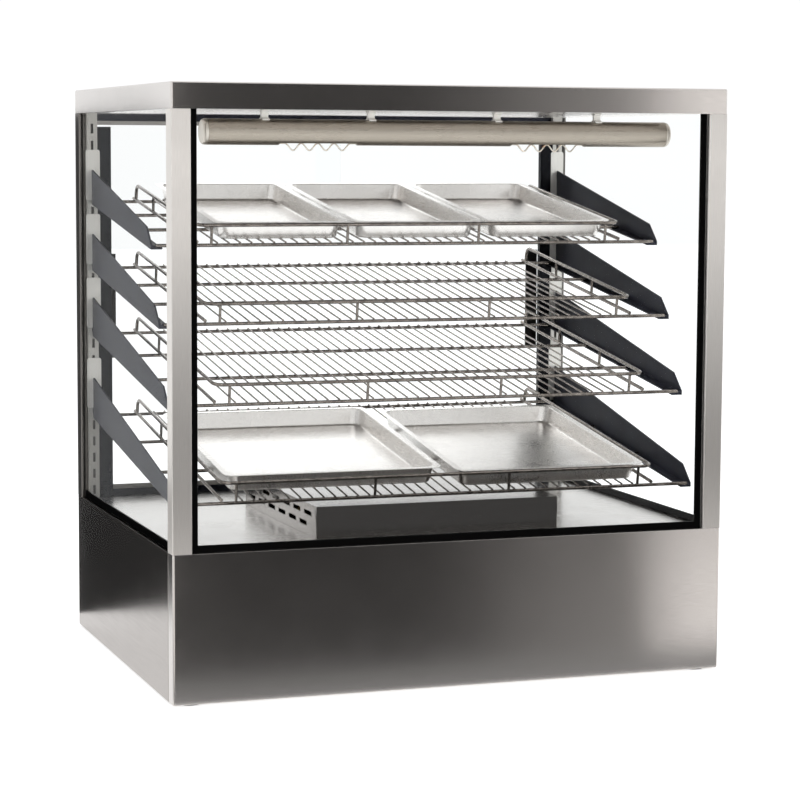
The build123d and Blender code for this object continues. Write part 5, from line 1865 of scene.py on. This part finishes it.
    def graded_flag(self, name: str, along: str, stops: Sequence[Pair]) -> Material:
        """A studio flag whose tone changes across the studio and along one more axis.

        Args:
            name: Name of the material.
            along: Y on the floor, Z behind the camera.
            stops: Place along that axis in metres, rising, and brightness there.

        Returns:
            The material.
        """
        material, tree = empty_material(name)
        place = add_node(tree, "ShaderNodeTexCoord").outputs["Object"]
        axes = add_node(tree, "ShaderNodeSeparateXYZ", {"Vector": place}).outputs
        mirrored = 2 * CAD_BOX[0][1] - self.position[1]
        across = add_node(tree, "ShaderNodeMath", {0: axes["X"], 1: self.position[0]}, operation="SUBTRACT")
        deep = add_node(tree, "ShaderNodeMath", {0: mirrored, 1: axes["Y"]}, operation="SUBTRACT")
        parts = {0: across.outputs[0], 1: deep.outputs[0]}
        slope = add_node(tree, "ShaderNodeMath", parts, operation="DIVIDE")
        sideways = self.graded(tree, slope.outputs[0], self.mirror_stops)
        tones = {0: sideways, 1: self.graded(tree, axes[along], stops)}
        tone = add_node(tree, "ShaderNodeMath", tones, operation="MULTIPLY")
        glow = add_node(tree, "ShaderNodeEmission", {"Color": linear("#fffcfa"), "Strength": tone.outputs[0]})
        add_node(tree, "ShaderNodeOutputMaterial", {"Surface": glow.outputs[0]})
        return material

    def plain_flag(self, name: str, tone: float) -> Material:
        """A studio flag of one tone.

        Args:
            name: Name of the material.
            tone: Its brightness.

        Returns:
            The material.
        """
        material, tree = empty_material(name)
        glow = add_node(tree, "ShaderNodeEmission", {"Strength": tone})
        add_node(tree, "ShaderNodeOutputMaterial", {"Surface": glow.outputs[0]})
        return material

    def graded(self, tree: Tree, value: Socket, stops: Sequence[Pair]) -> Socket:
        """Turns a value into a brightness by straight stretches between stops.

        Args:
            tree: Node tree of the flag.
            value: The value, in the unit of the stops.
            stops: Value and brightness of each stop, rising in value.

        Returns:
            The brightness.
        """
        low, high = stops[0][0], stops[-1][0]
        peak = max(tone for _, tone in stops)
        share = add_node(tree, "ShaderNodeMapRange", {"Value": value, "From Min": low, "From Max": high})
        ramp = add_node(tree, "ShaderNodeValToRGB", {"Fac": share.outputs["Result"]})
        set_stops(ramp, [((at - low) / (high - low), (tone / peak,) * 3 + (1.0,)) for at, tone in stops])
        scaled = add_node(tree, "ShaderNodeMath", {0: ramp.outputs["Color"], 1: peak}, operation="MULTIPLY")
        return scaled.outputs[0]

    def flags(self) -> None:
        """Flags that only mirror rays see, as in a studio for metal, and a dark card inside the case that
        paints shade into the heater cover's reflection.
        """
        behind = self.graded_flag("flag_behind_camera", "Z", self.tall_stops)
        floor = self.graded_flag("flag_on_floor", "Y", self.floor_stops)
        side = self.plain_flag("flag_at_side", self.side_tone)
        cover_shade = self.plain_flag("flag_before_cover", self.cover_shade_tone)
        near = self.plain_flag("flag_near_front", self.near_tone)
        left, right, back, edge, front, up = -2.6, 3.6, -4.2, -0.44, -0.31, 0.002
        for name, low, high, material in (
            ("flag_behind_camera", (left, back, 0), (right, back, 5.0), behind),
            ("flag_on_floor", (left, back, up), (right, edge, up), floor),
            ("flag_near_front", (left, edge, up), (right, front, up), near),
            ("flag_at_side", (-0.605, 0.4, 0), (-3, 0.4, 0.19), side),
            ("flag_beside_pane", (-0.41, 0.4, 0), (-0.605, 0.4, 0.79), side),
            # A dark card inside the case before the heater cover, seen only in its reflection: painted shade.
            ("flag_before_cover", (-0.3, -0.286, 0.2), (0.35, -0.286, 0.3), cover_shade),
        ):
            card = self.card(name, low, high, material)
            card.visible_camera = False
            card.visible_diffuse = False
            card.visible_shadow = False
            card.visible_transmission = False


def main() -> None:
    """Builds every sub-assembly in order and reports it."""
    logging.basicConfig(level=logging.INFO, format="%(name)s: %(message)s")
    shelves = [WireShelf(level) for level in (1, 2, 3, 4)]
    top = (TrayPlace(-0.193, 0.196), TrayPlace(0.009, 0.196), TrayPlace(0.211, 0.196))
    lower = (TrayPlace(-0.148, 0.316, gap=27 * MM), TrayPlace(0.167, 0.286))
    trays = [ServingTrays(shelves[0], "top_trays", top), ServingTrays(shelves[-1], "lower_trays", lower)]
    for group in (Base(), Cabinet(), RearDoors(), Supports(), Lamp(), Heater(), Controls(), *shelves, *trays):
        LOG.info("building %s", type(group).__name__)
        group.build()
    Studio().build()


if __name__ == "__main__":
    main()
